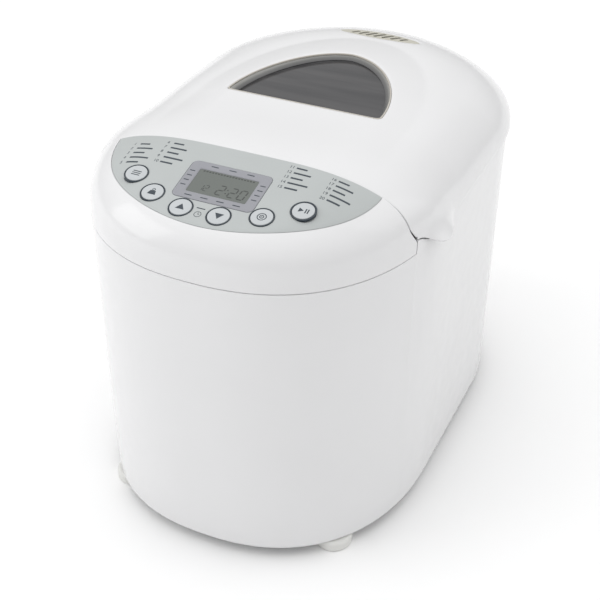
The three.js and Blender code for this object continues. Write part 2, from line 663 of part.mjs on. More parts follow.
// The supply board: a vertical plate in front of the chamber with its transformer, relay and fuse.
function powerBoard() {
  const front = CHAMBER_FRONT - 12;
  const posts = [[-94, 66], [-54, 66], [-94, 124], [-54, 124]].map(([x, z]) => solid(
    bar(2.5, -12, 0, 0, 0, 10).rotateX(Math.PI / 2).translate(x, front - 0.5, z),
  ));
  return joined(
    box([-100, front - 1.6, 60], [-48, front, 130]),
    box([-94, front - 26, 66], [-62, front - 1, 96]),
    box([-92, front - 18, 104], [-76, front - 1, 124]),
    box([-68, front - 10, 104], [-56, front - 1, 126]),
    ...posts,
  );
}

// The inlet where the supply cable enters, low in the rear wall.
const cordGland = () => turned([
  [3.5, -9], [9, -9], [9, -5.2], [6, -5.2], [6, -0.1], [9, -0.1], [9, 1.2], [7.5, 2], [3.5, 2], [3.5, -9],
], 0, 0, 12).rotateX(-Math.PI / 2);

const hingePin = () => alongX(HINGE.pin, -HINGE.reach - 0.5, HINGE.reach + 0.5, 12);

// ---------------------------------------------------------------- lid

// A finger lip that flares from the lid's side, at its front corner.
function fingerLip(side) {
  const plan = new THREE.Shape();
  plan.moveTo(side * 120, -94);
  plan.lineTo(side * 127, -91.5);
  plan.quadraticCurveTo(side * 136, -88.5, side * 136, -80);
  plan.quadraticCurveTo(side * 134.5, -69, side * 126.5, -48);
  plan.lineTo(side * 120, -48);
  const low = plan.getPoints(5);
  const ordered = side > 0 ? low : low.reverse();
  const ring = (z, out) => ordered.map(({ x, y }) => [side * mix(118, Math.abs(x), out), y, z]);
  const levels = [[0, 0.97], [1, 1], [2.4, 0.98], [6, 0.62], [11, 0.3], [17, 0.08]];
  return solid(loft(levels.map(([rise, out]) => ring(LID_RIM_Z + rise, out))));
}

function lidShell() {
  const hollow = cut(lidDome(SKIN, 220), box([-150, -250, 200], [150, SPLIT_Y + 3.3, 300]));
  const outer = joined(lidDome(0, LID_RIM_Z), fingerLip(-1), fingerLip(1));
  const skin = cut(
    outer,
    hollow,
    box([-150, -250, 200], [150, SPLIT_Y + 0.6, 320]),
    solid(prism(windowShape(0), 250, 300, 8)),
    solid(prism(ventShape(0), 250, 300, 5)),
    box([-HINGE.half - 0.6, HINGE.y - 4.2, 230], [HINGE.half + 0.6, 210, 260]),
  );
  const lugs = [-1, 1].map((side) => {
    const ends = [side * (HINGE.half + 1), side * HINGE.reach].sort((a, b) => a - b);
    return alongX(HINGE.radius, ...ends);
  });
  return cut(joined(skin, ...lugs), hingeBore());
}

function windowTrim() {
  return cut(
    solid(prism(windowShape(-GAP), GLASS_Z + 3.3, 279, 8)),
    solid(prism(windowShape(-4.5), 260, 290, 8)),
  );
}

const windowGlass = () => prism(windowShape(3.5), GLASS_Z, GLASS_Z + 3, 8);

// The vent insert follows the lid's surface and has slanted slots.
function ventGrille() {
  const outer = lidDome(0, LID_RIM_Z);
  const plug = solid(prism(ventShape(0.3), 250, 300, 5)).intersect(outer);
  const blank = cut(plug, outer.translate(0, 0, -2.2));
  const slots = Array.from({ length: 7 }, (_, i) => {
    const x = (i - 3) * 6.6;
    const fullness = 1 - (x / VENT.tip) ** 2;
    const slot = new THREE.BoxGeometry(2, 10 * fullness, 60).rotateZ(-0.6);
    return solid(slot.translate(x, VENT.y + fullness, 270));
  });
  return cut(blank, ...slots);
}

const LINER = { halfX: 95, front: -88, back: 142, corner: 50, under: 251, sheet: 1.2, flange: 9 };

function lidLiner() {
  const { halfX, front, back, corner, under, sheet, flange } = LINER;
  const middle = (front + back) / 2;
  const half = (back - front) / 2;
  const shape = (grow) => roundedRectangle(halfX + grow, half + grow, corner + grow, middle);
  return cut(
    joined(
      solid(prism(shape(0), 238, under + sheet, 4)),
      solid(prism(shape(flange), 238, 238 + sheet, 4)),
    ),
    solid(prism(shape(-sheet), 200, under, 4)),
    solid(prism(windowShape(-2), 240, 260, 8)),
  );
}

const innerGlass = () => prism(windowShape(4), LINER.under + LINER.sheet + GAP, LINER.under + 4, 8);

function lidSeal() {
  const { halfX, front, back, corner } = LINER;
  const middle = (front + back) / 2;
  const half = (back - front) / 2;
  const shape = (grow) => roundedRectangle(halfX + grow, half + grow, corner + grow, middle);
  return cut(solid(prism(shape(8), 234.4, 237.7, 4)), solid(prism(shape(4), 200, 260, 4)));
}

// ---------------------------------------------------------------- assembly

const machine = new THREE.Group();

function place(name, shape, material, at = [0, 0, 0], group = machine) {
  const geometry = shape instanceof THREE.BufferGeometry ? shape : geometryOf(shape);
  const mesh = new THREE.Mesh(geometry, MATERIAL[material]);
  mesh.name = name;
  mesh.position.set(...at);
  group.add(mesh);
  return mesh;
}

place('lower_housing', lowerHousing(), 'shell');
place('base_plate', basePlate(), 'sheet');
for (const [corner, x, y] of FEET) place(`foot_${corner}`, foot(), 'rubber', [x, y, 0]);
for (const [corner, x, y] of BASE_SCREWS) place(`base_screw_${corner}`, baseScrew(), 'steel', [x, y, 0]);
place('top_cover', topCover(), 'shell');
place('panel_overlay', panelOverlay(), 'panel');

const panel = new THREE.Group();
panel.position.copy(PANEL_CENTRE);
panel.rotation.x = PANEL_TILT;
machine.add(panel);
place('display_bezel', displayBezel(), 'bezel', [0, 0, 0], panel);
place('display_lens', displayLens(), 'lens', [0, 0, 0], panel);
place('lcd_module', lcdModule(), 'dark', [0, 0, 0], panel);
place('control_board', controlBoard(), 'board', [0, 0, 0], panel);
for (const [name, [u, v]] of Object.entries(BUTTONS)) {
  place(name, button(BUTTON_RADIUS), 'button', [u, v, 0], panel);
}

place('baking_chamber', bakingChamber(), 'sheet');
place('heating_element', heatingElement(), 'sheath');
place('heater_insulator_left', heaterInsulator(), 'ceramic', [-HEATER.lead, CHAMBER_FRONT, HEATER.z]);
place('heater_insulator_right', heaterInsulator(), 'ceramic', [HEATER.lead, CHAMBER_FRONT, HEATER.z]);
place('temperature_sensor', temperatureSensor(), 'steel', [-CHAMBER.halfX, PAN_Y, 120]);
place('pan_seat', panSeat(), 'steel');
place('bearing_housing', bearingHousing(), 'steel');
place('chamber_bracket_right', chamberBracket(), 'sheet');
const leftBracket = place('chamber_bracket_left', chamberBracket(), 'sheet', [0, 2 * PAN_Y, 0]);
leftBracket.rotation.z = Math.PI;

place('motor_body', motorBody(), 'copper');
place('motor_bracket', motorBracket(), 'sheet');
place('motor_capacitor', motorCapacitor(), 'dark');
place('power_board', powerBoard(), 'board');
place('drive_belt', driveBelt(), 'black_rubber');
place('cord_gland', cordGland(), 'dark', [0, REAR_ARC.y + REAR_ARC.reach + bodyGrow(30) + 0.6, 30]);
place('hinge_pin', hingePin(), 'steel');
place('motor_shaft', motorShaft(), 'steel');
place('motor_pulley', pulley(MOTOR_PULLEY, 4 + GAP, 16), 'dark');
place('drive_shaft', driveShaft(), 'steel');
place('drive_pulley', drivePulley(), 'dark');
place('drive_coupling', driveCoupling(), 'steel');

place('bread_pan', breadPan(), 'coated');
place('pan_base_ring', panBase(), 'steel');
place('pan_bush', panBush(), 'steel');
place('pan_handle', panHandle(), 'steel');
place('pan_shaft', panShaft(), 'steel');
place('pan_coupling', panCoupling(), 'steel');
place('kneading_paddle', kneadingPaddle(), 'coated');

place('lid_shell', lidShell(), 'shell');
place('window_trim', windowTrim(), 'trim');
place('window_glass', windowGlass(), 'glass');
place('vent_grille', ventGrille(), 'grille');
place('lid_liner', lidLiner(), 'sheet');
place('inner_glass', innerGlass(), 'glass');
place('lid_seal', lidSeal(), 'rubber');

export default machine;
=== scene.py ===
"""A white bread machine: fine meshes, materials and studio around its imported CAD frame.

Shapes are worked out in millimetres, in the frame of the CAD model: +Z up, -Y the front, z = 0 the table.
"""

import json
import math
from types import SimpleNamespace as Sizes

import bmesh
import bpy
import numpy as np
from mathutils import Matrix, Vector
from mathutils.geometry import delaunay_2d_cdt
from mathutils.kdtree import KDTree


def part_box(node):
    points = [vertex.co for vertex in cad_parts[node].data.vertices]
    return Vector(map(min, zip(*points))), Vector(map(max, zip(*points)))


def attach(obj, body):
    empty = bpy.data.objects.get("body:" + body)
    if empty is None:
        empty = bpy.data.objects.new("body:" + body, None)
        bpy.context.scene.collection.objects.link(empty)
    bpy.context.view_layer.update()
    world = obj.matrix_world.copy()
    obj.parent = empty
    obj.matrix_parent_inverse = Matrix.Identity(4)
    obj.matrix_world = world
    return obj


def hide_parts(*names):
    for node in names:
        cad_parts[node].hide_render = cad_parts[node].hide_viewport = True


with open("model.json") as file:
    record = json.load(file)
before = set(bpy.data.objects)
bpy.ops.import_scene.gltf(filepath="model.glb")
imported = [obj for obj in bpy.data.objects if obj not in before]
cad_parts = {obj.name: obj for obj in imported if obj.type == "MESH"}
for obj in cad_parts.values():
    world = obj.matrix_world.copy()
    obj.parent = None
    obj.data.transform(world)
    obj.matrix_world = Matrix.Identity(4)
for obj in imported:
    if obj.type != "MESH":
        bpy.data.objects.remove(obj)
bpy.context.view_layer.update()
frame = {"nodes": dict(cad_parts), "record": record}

MM = 0.001

# ---- dimensions shared with the frame, in mm

HALF_WIDTH = 125.0
FRONT_ARC = Sizes(y=-52.0, reach=142.3, power=2.32)
REAR_ARC = Sizes(y=60.0, reach=133.6, power=2.0)
TAPER = 2.6
FOOT_Z = 9.0
INLET_Z = 30.0
SEAM_Z = 234.0
WALL = 3.0
SKIN = 2.5

SPLIT_Y = -108.0
LID_FRONT = SPLIT_Y + 0.25
CONSOLE_BACK = SPLIT_Y - 0.2
DOME_POWER = 3.0
DOME_HEIGHT = 53.0
PANEL_TILT = math.radians(13)
PANEL_CENTRE = Vector((0, -143, 277.1))
FILM = Sizes(y=-104.0, half_width=96.5, length=76.0)
DISPLAY_FRAME = (29.0, 17.5, 4.0)  # half width, half height, corner radius

SIDE_OVERHANG = 2.0
REAR_OVERHANG = 0.7
LIP = Sizes(y=-81.0, front=16.0, back=34.0, height=15.0, sweep=2.0, reach=9.0)
LID_RIM_Z = 237.0
LID_EDGE = Sizes(side=257.0, rear=240.6, width=29.0, bulge=19.8)
STEP_Y, STEP_RUN = -102.4, 0.6
LID_LIFT = Sizes(y=-82.0, length=20.0, rise=8.0, height=10.0)
# The split's bend near the rim. Its start, run and end are shares of the way out to the rim.
BEND = Sizes(start=0.78, run=0.22, end=0.907, length=34.0, depth=13.0)
LID_CREST = Sizes(front=48.2, plateau=281.2, drop=4.6)
PLATEAU = Sizes(y=-24.0, half_width=127.0, length=219.0, flat=0.44, crease=0.64)
WINDOW = Sizes(y=-17.0, half_width=60.0, length=92.0, front=-21.5, corner=5.0, power=1.75)
VENT = Sizes(y=130.8, half_width=34.0, half_length=8.2)
GLASS_Z = 272.4
BEVEL_FOOT_Z = GLASS_Z + 3.2
HINGE = Sizes(y=190.0, z=240.5, radius=3.3, half=10.0, reach=20.0)

PAN_Y = 37.0
CHAMBER = Sizes(x=88.0, y=105.0, corner=30.0, floor=52.0, top=230.6, sheet=0.8)
PAN = Sizes(x=66.0, y=86.0, corner=24.0, bottom=74.0, top=200.0, sheet=1.2, draft=4.0)
HEATER = Sizes(x=76.0, y=95.0, corner=26.0, z=66.0, radius=3.2, lead=12.0)
LINER = Sizes(x=95.0, front=-88.0, back=142.0, corner=50.0, under=251.0, sheet=1.2)
DECK_TOP = 233.9

BUTTONS = {
    "menu": (-60.0, -6.5),
    "weight": (-40.8, -19.6),
    "time_up": (-16.7, -26.4),
    "time_down": (10.3, -26.4),
    "colour": (36.8, -18.6),
    "start": (59.4, -5.2),
}

# ---- small helpers


def smooth(t):
    return t * t * (3 - 2 * t)


def clamp01(t):
    return np.clip(t, 0.0, 1.0)


def mix(a, b, t):
    return a + (b - a) * t


def columns(*values):
    """Rows of coordinates from arrays and single values."""
    return np.column_stack(np.broadcast_arrays(*values))


def circle(radius, count=48):
    return radius * on_circle(np.linspace(0, 2 * math.pi, count, endpoint=False))


def on_circle(angles):
    return columns(np.cos(angles), np.sin(angles))


def rounded_rectangle(half_x, half_y, corner, centre_y=0.0, steps=12):
    """Anticlockwise points round a rectangle with round corners."""
    corner = max(corner, 0.05)
    points = []
    for turn, (sx, sy) in enumerate([(1, 1), (-1, 1), (-1, -1), (1, -1)]):
        angles = np.linspace(0, math.pi / 2, steps) + turn * math.pi / 2
        centre = sx * (half_x - corner), centre_y + sy * (half_y - corner)
        points.append(corner * on_circle(angles) + centre)
    return np.vstack(points)


def fillet(profile, radii, closed=False, steps=5):
    """Rounds the corners of a polyline. Each corner has its own radius, and 0 leaves it sharp."""
    points = [np.array(p, float) for p in profile]
    count = len(points)
    if not hasattr(radii, "__len__"):
        radii = [radii] * count
    result = []
    for i, (corner, radius) in enumerate(zip(points, radii)):
        if radius <= 0 or (not closed and i in (0, count - 1)):
            result.append(corner)
            continue
        before = points[i - 1] - corner
        after = points[(i + 1) % count] - corner
        lengths = np.linalg.norm(before), np.linalg.norm(after)
        reach = min(radius, 0.45 * min(lengths))
        start = corner + before / max(lengths[0], 1e-9) * reach
        end = corner + after / max(lengths[1], 1e-9) * reach
        result += list(bend(start, corner, end, steps))
    return [tuple(p) for p in result]


def at_height(points, z):
    return np.column_stack([points, np.full(len(points), z)])


def skin(rings, closed=False):
    """Faces between rings of equal length, each anticlockwise from above, going up the outside."""
    count, levels = len(rings[0]), len(rings)
    faces = []
    for level in range(levels if closed else levels - 1):
        low, high = level * count, (level + 1) % levels * count
        for i in range(count):
            j = (i + 1) % count
            faces.append((low + i, low + j, high + j, high + i))
    if not closed:
        faces += [tuple(range(count - 1, -1, -1)), tuple(range((levels - 1) * count, levels * count))]
    return np.vstack(rings), faces


def swept(outline_at, profile, closed=False):
    """Skins an outline along a profile of (offset, z) pairs."""
    return skin([at_height(outline_at(offset), z) for offset, z in profile], closed)


def turned(profile, count=48, closed=False):
    """Turns a profile of (radius, z) pairs about the Z axis."""
    return swept(lambda radius: circle(max(radius, 0.01), count), profile, closed)


def tube(path, radius, count=16):
    """A round tube along a level path, with flat ends."""
    tangents = np.gradient(path, axis=0)
    tangents /= np.linalg.norm(tangents, axis=1)[:, None]
    normal = np.cross(tangents[0], (0.0, 0.0, 1.0))
    ring = circle(radius, count)
    rings = []
    for point, tangent in zip(path, tangents):
        normal = normal - tangent * np.dot(normal, tangent)
        normal /= np.linalg.norm(normal)
        rings.append(point + ring[:, :1] * normal + ring[:, 1:] * np.cross(tangent, normal))
    return skin(rings)


def prism(points, low, high):
    """An outline, anticlockwise from above, drawn up from one height to another."""
    return skin([at_height(np.array(points, float), z) for z in (low, high)])


def flat_ring(inner, outer, low, high, count=32):
    return turned([(inner, low), (outer, low), (outer, high), (inner, high)], count, closed=True)


def joined(*parts):
    """Several (vertices, faces) pairs as one."""
    faces = []
    start = 0
    for vertices, part_faces in parts:
        faces += [tuple(start + i for i in face) for face in part_faces]
        start += len(vertices)
    return np.vstack([vertices for vertices, _ in parts]), faces


def moved(part, x=0.0, y=0.0, z=0.0):
    return np.asarray(part[0]) + (x, y, z), part[1]


def transformed(part, matrix):
    return np.array([matrix @ Vector(v) for v in part[0]]), part[1]


PANEL_MATRIX = Matrix.Translation(PANEL_CENTRE) @ Matrix.Rotation(PANEL_TILT, 4, "X")


def on_panel(part):
    """Places a part that is drawn on the panel, with the panel's face at z = 0."""
    return transformed(part, PANEL_MATRIX)


def along_y(part, x, y, z):
    """Turns a part's Z axis to point backwards, along +Y, and moves it to (x, y, z)."""
    return transformed(part, Matrix.Translation((x, y, z)) @ Matrix.Rotation(-math.pi / 2, 4, "X"))


def along_x(part, x, y, z):
    return transformed(part, Matrix.Translation((x, y, z)) @ Matrix.Rotation(math.pi / 2, 4, "Y"))


def evaluated_mesh(obj):
    """An object's mesh with its modifiers applied."""
    return bpy.data.meshes.new_from_object(obj.evaluated_get(bpy.context.evaluated_depsgraph_get()))


def applied(obj):
    """Puts an object's modifiers into its mesh."""
    old, obj.data = obj.data, evaluated_mesh(obj)
    obj.modifiers.clear()
    bpy.data.meshes.remove(old)


def add_object(name, data):
    """A new object in the scene."""
    obj = bpy.data.objects.new(name, data)
    bpy.context.scene.collection.objects.link(obj)
    return obj


def new_object(name, part):
    """A mesh object of a (vertices, faces) pair in millimetres."""
    mesh = bpy.data.meshes.new(name)
    mesh.from_pydata((part[0] * MM).tolist(), [], part[1])
    return add_object(name, mesh)


def dress(obj, slot, angle):
    """Gives an object its material and its smooth shading."""
    obj.data.materials.clear()
    obj.data.materials.append(MATERIALS[slot])
    obj.data.shade_smooth()
    obj.data.set_sharp_from_angle(angle=math.radians(angle))


def cut_away(obj, part):
    """Cuts a closed part out of an object."""
    cutter = new_object("cutter", part)
    tool = obj.modifiers.new("cut", "BOOLEAN")
    tool.operation = "DIFFERENCE"
    tool.solver = "MANIFOLD"
    tool.object = cutter
    applied(obj)
    bpy.data.objects.remove(cutter)


def piece(name, part, slot, replaces=(), body="housing", angle=35.0):
    """A finished piece: its mesh, its material and shading, its body and what it stands for."""
    obj = part if isinstance(part, bpy.types.Object) else new_object(name, part)
    obj.name = obj.data.name = name
    dress(obj, slot, angle)
    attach(obj, body)
    if replaces:
        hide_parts(*replaces)


def add_node(tree, kind, output, **inputs):
    """Adds a node and returns its output. Each input is a value or another node's output."""
    node = tree.nodes.new(kind)
    for name, value in inputs.items():
        socket = node.inputs[name.replace("_", " ")]
        if isinstance(value, bpy.types.NodeSocket):
            tree.links.new(value, socket)
        else:
            socket.default_value = value
    return node.outputs[output]


# ---- materials


class Look:
    """A Principled material whose pattern runs on object coordinates, in metres."""

    def __init__(self, name, roughness=0.4, metallic=0.0, **sockets):
        self.material = bpy.data.materials.new(name)
        self.material.use_nodes = True
        self.tree = self.material.node_tree
        self.inputs = self.tree.nodes["Principled BSDF"].inputs
        for socket, value in {"Roughness": roughness, "Metallic": metallic, **sockets}.items():
            self.inputs[socket.replace("_", " ")].default_value = value
        self.place = self.node("ShaderNodeTexCoord", "Object")

    def node(self, kind, output, **inputs):
        return add_node(self.tree, kind, output, **inputs)

    def into(self, output, socket):
        self.tree.links.new(output, self.inputs[socket])

    def stretched(self, scale):
        """Coordinates scaled along each axis."""
        return self.node("ShaderNodeMapping", "Vector", Vector=self.place, Scale=scale)

    def noise(self, scale, detail=3.0, place=None):
        place = place or self.place
        return self.node("ShaderNodeTexNoise", "Fac", Vector=place, Scale=scale, Detail=detail)

    def stripes(self, scale):
        """Level stripes."""
        output = self.node("ShaderNodeTexWave", "Fac", Vector=self.place, Scale=scale, Distortion=0.4)
        output.node.bands_direction = "Z"
        return output

    def ramp(self, source, stops):
        """Colours between stops of (position, (r, g, b))."""
        output = self.node("ShaderNodeValToRGB", "Color", Fac=source)
        elements = output.node.color_ramp.elements
        while len(elements) < len(stops):
            elements.new(0.5)
        for element, (position, colour) in zip(elements, stops):
            element.position = position
            element.color = (*colour, 1)
        self.into(output, "Base Color")

    def mapped(self, source, low, high, to_low=0.0, to_high=1.0):
        """A value moved from one range to another."""
        ends = {"From_Min": low, "From_Max": high, "To_Min": to_low, "To_Max": to_high}
        return self.node("ShaderNodeMapRange", "Result", Value=source, **ends)

    def gloss(self, source, low, high):
        self.into(self.mapped(source, 0.3, 0.7, low, high), "Roughness")

    def bump(self, source, strength, distance):
        bump = self.node("ShaderNodeBump", "Normal", Height=source, Strength=strength, Distance=distance)
        self.into(bump, "Normal")


def tint(colour, share):
    return tuple(min(1.0, channel * share) for channel in colour)


def moulded(name, colour, roughness, grain, depth, spread=0.03, **sockets):
    """Moulded plastic or rubber: soft colour drift, a little uneven gloss and a fine grain."""
    look = Look(name, roughness, **sockets)
    look.ramp(look.noise(14.0), [(0.3, tint(colour, 1 - spread)), (0.7, tint(colour, 1 + spread))])
    look.gloss(look.noise(90.0), roughness * 0.85, roughness * 1.15)
    look.bump(look.noise(grain, 2.0), 0.25, depth)
    return look.material


def brushed(name, colour, roughness, scale, **sockets):
    """Metal with fine lines along one direction."""
    look = Look(name, roughness, 1.0, **sockets)
    lines = look.noise(60.0, 4.0, look.stretched(scale))
    look.ramp(lines, [(0.3, tint(colour, 0.85)), (0.7, tint(colour, 1.1))])
    look.gloss(lines, roughness * 0.75, roughness * 1.3)
    look.bump(lines, 0.12, 0.00004)
    return look.material


def coated_material():
    """Dark non-stick coating with pale flecks."""
    look = Look("non_stick_coating", 0.42, 0.3, Coat_Weight=0.15)
    flecks = look.node("ShaderNodeTexVoronoi", "Distance", Vector=look.place, Scale=700.0)
    look.ramp(flecks, [(0.08, (0.3, 0.3, 0.3)), (0.2, (0.055, 0.055, 0.058))])
    look.gloss(look.noise(120.0), 0.36, 0.5)
    look.bump(look.noise(900.0, 2.0), 0.3, 0.00005)
    return look.material


def board_material():
    """Green circuit board with darker tracks."""
    look = Look("circuit_board", 0.45)
    tracks = look.stripes(60.0)
    look.ramp(tracks, [(0.35, (0.03, 0.15, 0.07)), (0.5, (0.05, 0.22, 0.1))])
    look.bump(tracks, 0.2, 0.00005)
    return look.material


def winding_material():
    """Copper windings, seen as close turns."""
    look = Look("copper_winding", 0.35, 1.0)
    turns = look.stripes(180.0)
    look.ramp(turns, [(0.2, (0.22, 0.1, 0.05)), (0.7, (0.62, 0.32, 0.17))])
    look.bump(turns, 0.6, 0.0003)
    return look.material


def glass_material():
    """Smoke-tinted glass with faint streaks across it."""
    look = Look("smoked_glass", 0.06, IOR=1.4)
    streaks = look.noise(9.0, 4.0, look.stretched((0.7, 6.0, 1.0)))
    look.ramp(streaks, [(0.35, (0.036, 0.036, 0.039)), (0.7, (0.074, 0.072, 0.074))])
    look.gloss(look.noise(35.0), 0.05, 0.14)
    return look.material


def bevel_material():
    """Smoky plastic with painted shading: a painted shadow at the bevel's foot beside the glass, and a
    painted highlight that makes it paler towards the top of the window's bevel.
    """
    look = Look("window_bevel_painted_shade", 0.22, Coat_Weight=0.2)
    height = look.node("ShaderNodeSeparateXYZ", "Z", Vector=look.place)
    share = look.mapped(height, BEVEL_FOOT_Z * MM, (BEVEL_FOOT_Z + 4) * MM)
    # painted shade and painted highlight: dark at the foot where the glass's edge shades the bevel, paler
    # towards the top where it catches light
    look.ramp(share, [(0.0, (0.06, 0.06, 0.062)), (0.4, (0.14, 0.14, 0.137)), (0.85, (0.42, 0.415, 0.39))])
    look.gloss(look.noise(60.0), 0.16, 0.3)
    return look.material


WHITE = (0.72, 0.72, 0.727)
MATERIALS = {
    "shell": moulded("white_gloss_plastic", WHITE, 0.22, 900.0, 0.00001, 0.008, Coat_Weight=0.25),
    "panel": moulded("panel_film", (0.43, 0.453, 0.45), 0.4, 2500.0, 0.00002),
    "bezel": moulded("display_frame_plastic", (0.277, 0.281, 0.308), 0.35, 2500.0, 0.00002),
    "lens": moulded("display_pane", (0.115, 0.128, 0.117), 0.12, 600.0, 0.000004, Coat_Weight=0.2),
    "button": moulded("key_plastic", (0.49, 0.513, 0.527), 0.38, 2200.0, 0.00002),
    "dark": moulded("dark_plastic", (0.045, 0.05, 0.056), 0.5, 1500.0, 0.00003),
    "board": board_material(),
    "grille": moulded("vent_plastic", (0.48, 0.465, 0.4), 0.45, 1800.0, 0.00003),
    # the window bevel's colour holds a painted shadow at its foot and a painted highlight at its top
    "trim": bevel_material(),
    "glass": glass_material(),
    "rubber": moulded("pale_rubber", (0.68, 0.68, 0.66), 0.75, 1400.0, 0.00006),
    "black_rubber": moulded("black_rubber_belt", (0.02, 0.02, 0.02), 0.8, 1400.0, 0.00006),
    "ceramic": moulded("glazed_ceramic", (0.75, 0.72, 0.63), 0.5, 1500.0, 0.00004),
    "steel": brushed("turned_steel", (0.6, 0.61, 0.62), 0.32, (1.0, 1.0, 14.0)),
    "sheet": brushed("plated_sheet", (0.63, 0.635, 0.64), 0.38, (1.0, 18.0, 1.0)),
    "sheath": brushed("heated_steel", (0.16, 0.14, 0.13), 0.5, (1.0, 14.0, 1.0)),
    "coated": coated_material(),
    "copper": winding_material(),
    "ink": moulded("printed_ink", (0.03, 0.042, 0.055), 0.45, 2500.0, 0.00001),
    "lcd_ink": moulded("crystal_ink", (0.045, 0.05, 0.046), 0.25, 1500.0, 0.000005),
    "bead": moulded("window_bead_plastic", (0.5, 0.47, 0.42), 0.35, 1200.0, 0.00001),
}

# ---- the body's plan and surfaces


def spine_of(y):
    return np.clip(y, FRONT_ARC.y, REAR_ARC.y)


def level_of(points):
    """1 on the outline, 0 on the spine."""
    x, y = points[:, 0], points[:, 1]
    front = y < FRONT_ARC.y
    reach = np.where(front, FRONT_ARC.reach, REAR_ARC.reach)
    power = np.where(front, FRONT_ARC.power, REAR_ARC.power)
    across = np.abs(x) / HALF_WIDTH
    return (across**power + (np.abs(y - spine_of(y)) / reach) ** power) ** (1 / power)


def outline(grow=0.0, steps=110, side_steps=30):
    """The plan outline, anticlockwise from the front end of the right side."""
    front, rear = FRONT_ARC.y, REAR_ARC.y
    points = []
    for side, arc, ends in ((1, REAR_ARC, (front, rear)), (-1, FRONT_ARC, (rear, front))):
        half = side * (HALF_WIDTH + grow)
        sides = np.linspace(*ends, side_steps, endpoint=False)
        points.append(columns(half, sides))
        angles = np.linspace(0, math.pi, steps, endpoint=False)
        if arc is FRONT_ARC:
            # The housing's step needs points of its own at both of its ends.
            shares = [(arc.y - y) / arc.reach for y in (STEP_Y, STEP_Y + STEP_RUN)]
            extra = [math.asin(share ** (arc.power / 2)) for share in shares]
            angles = np.sort(np.concatenate([angles, extra, [math.pi - angle for angle in extra]]))
        c, s = np.cos(angles), np.sin(angles)
        x = half * np.sign(c) * np.abs(c) ** (2 / arc.power)
        y = arc.y + side * (arc.reach + grow) * s ** (2 / arc.power)
        points.append(columns(x, y))
    return np.vstack(points)


def run_of(loop, keep):
    """The kept stretch of a closed loop, as one run."""
    first = int(np.flatnonzero(keep & ~np.roll(keep, 1))[0])
    return np.roll(loop, -first, 0)[np.roll(keep, -first)]


def scaled(points, scale):
    """Points in the plan, moved out from the spine by a share each."""
    spine = spine_of(points[:, 1])
    return columns(points[:, 0] * scale, spine + (points[:, 1] - spine) * scale)


def dome_rise(level):
    return np.maximum(0.0, 1 - np.minimum(level, 1.0) ** DOME_POWER) ** (1 / DOME_POWER)


def soft_min(a, b, radius):
    low = np.minimum(a, b)
    return low - radius * np.log(np.exp(-(a - low) / radius) + np.exp(-(b - low) / radius))


def console_height(points):
    """The console's top: a dome cut off by the sloping panel, with a softened crease."""
    plane = PANEL_CENTRE.z + (points[:, 1] - PANEL_CENTRE.y) * math.tan(PANEL_TILT)
    return soft_min(SEAM_Z + DOME_HEIGHT * dome_rise(level_of(points)), plane, 0.8)


def lid_height(points):
    """The lid's top: a D-shaped plateau with a slope around it, running into the dome in front."""
    x, y = points.T
    level = np.minimum(level_of(points), 1.0)
    front = LID_RIM_Z + LID_CREST.front * dome_rise(level)
    back = np.maximum(0.0, y - PLATEAU.y)
    reach = np.hypot(x / PLATEAU.half_width, back / PLATEAU.length)
    fall = clamp01((reach - PLATEAU.flat) / (PLATEAU.crease - PLATEAU.flat)) ** 1.4
    plateau = LID_CREST.plateau - 0.015 * back - LID_CREST.drop * fall
    outside = np.maximum(0.0, reach - PLATEAU.crease)
    slope = outside / np.maximum(outside + 0.8 * (1 - level), 1e-9)
    to_rear = clamp01((y - REAR_ARC.y) / REAR_ARC.reach) ** 1.86
    shoulder = mix(LID_EDGE.side, LID_EDGE.rear, to_rear)
    edge = clamp01(1 - (1 - level) * HALF_WIDTH / LID_EDGE.width)
    drop = (shoulder - LID_RIM_Z) * (1 - np.sqrt(1 - edge**2))
    rear = mix(plateau, shoulder, slope) + LID_EDGE.bulge * slope * (1 - slope) - drop
    return mix(front, rear, smooth(clamp01((y - SPLIT_Y) / (PLATEAU.y - SPLIT_Y))))


# Near the rim the surfaces stand upright, so they are meshed on a plan that spreads the rim out.
SPREAD_FROM = 0.75
SPREAD_LEVEL = (1 - SPREAD_FROM**DOME_POWER) ** (1 / DOME_POWER)
SPREAD_SLOPE = (SPREAD_FROM / SPREAD_LEVEL) ** (DOME_POWER - 1)
RIM_SPREAD = SPREAD_LEVEL + SPREAD_FROM * SPREAD_SLOPE
RIM_SPACING = 2.6


def to_spread(points):
    """From the plan to the spread plan."""
    level = np.minimum(level_of(points), 1.0)
    near_rim = SPREAD_LEVEL + (SPREAD_FROM - dome_rise(level)) * SPREAD_SLOPE
    return scaled(points, np.where(level > SPREAD_LEVEL, near_rim, level) / np.maximum(level, 1e-9))


def from_spread(points):
    """From the spread plan back to the plan."""
    spread = level_of(points)
    rise = np.clip(SPREAD_FROM - (spread - SPREAD_LEVEL) / SPREAD_SLOPE, 0, 1)
    near_rim = (1 - rise**DOME_POWER) ** (1 / DOME_POWER)
    return scaled(points, np.where(spread > SPREAD_LEVEL, near_rim, spread) / np.maximum(spread, 1e-9))


def bent_back(flat):
    """Moves points on the spread plan so that the split curves backwards near the rim."""
    level = level_of(flat)
    near_rim = smooth(clamp01((np.minimum(level / RIM_SPREAD, BEND.end) - BEND.start) / BEND.run))
    near_split = clamp01(1 - ((from_spread(flat)[:, 1] - SPLIT_Y) / BEND.length) ** 2) ** 2
    back = flat + columns(0, BEND.depth * near_rim * near_split)
    return scaled(back, level / np.maximum(level_of(back), 1e-9))


def resampled(points, spacing=1.0, closed=False, count=None):
    """A polyline's points at an even spacing, or as many of them as asked for."""
    if closed:
        points = closed_run(points)
    lengths = np.concatenate([[0.0], np.cumsum(np.linalg.norm(np.diff(points, axis=0), axis=1))])
    count = count or max(3, int(round(lengths[-1] / spacing)))
    places = np.linspace(0, lengths[-1], count, endpoint=not closed)
    return columns(*(np.interp(places, lengths, points[:, k]) for k in (0, 1)))


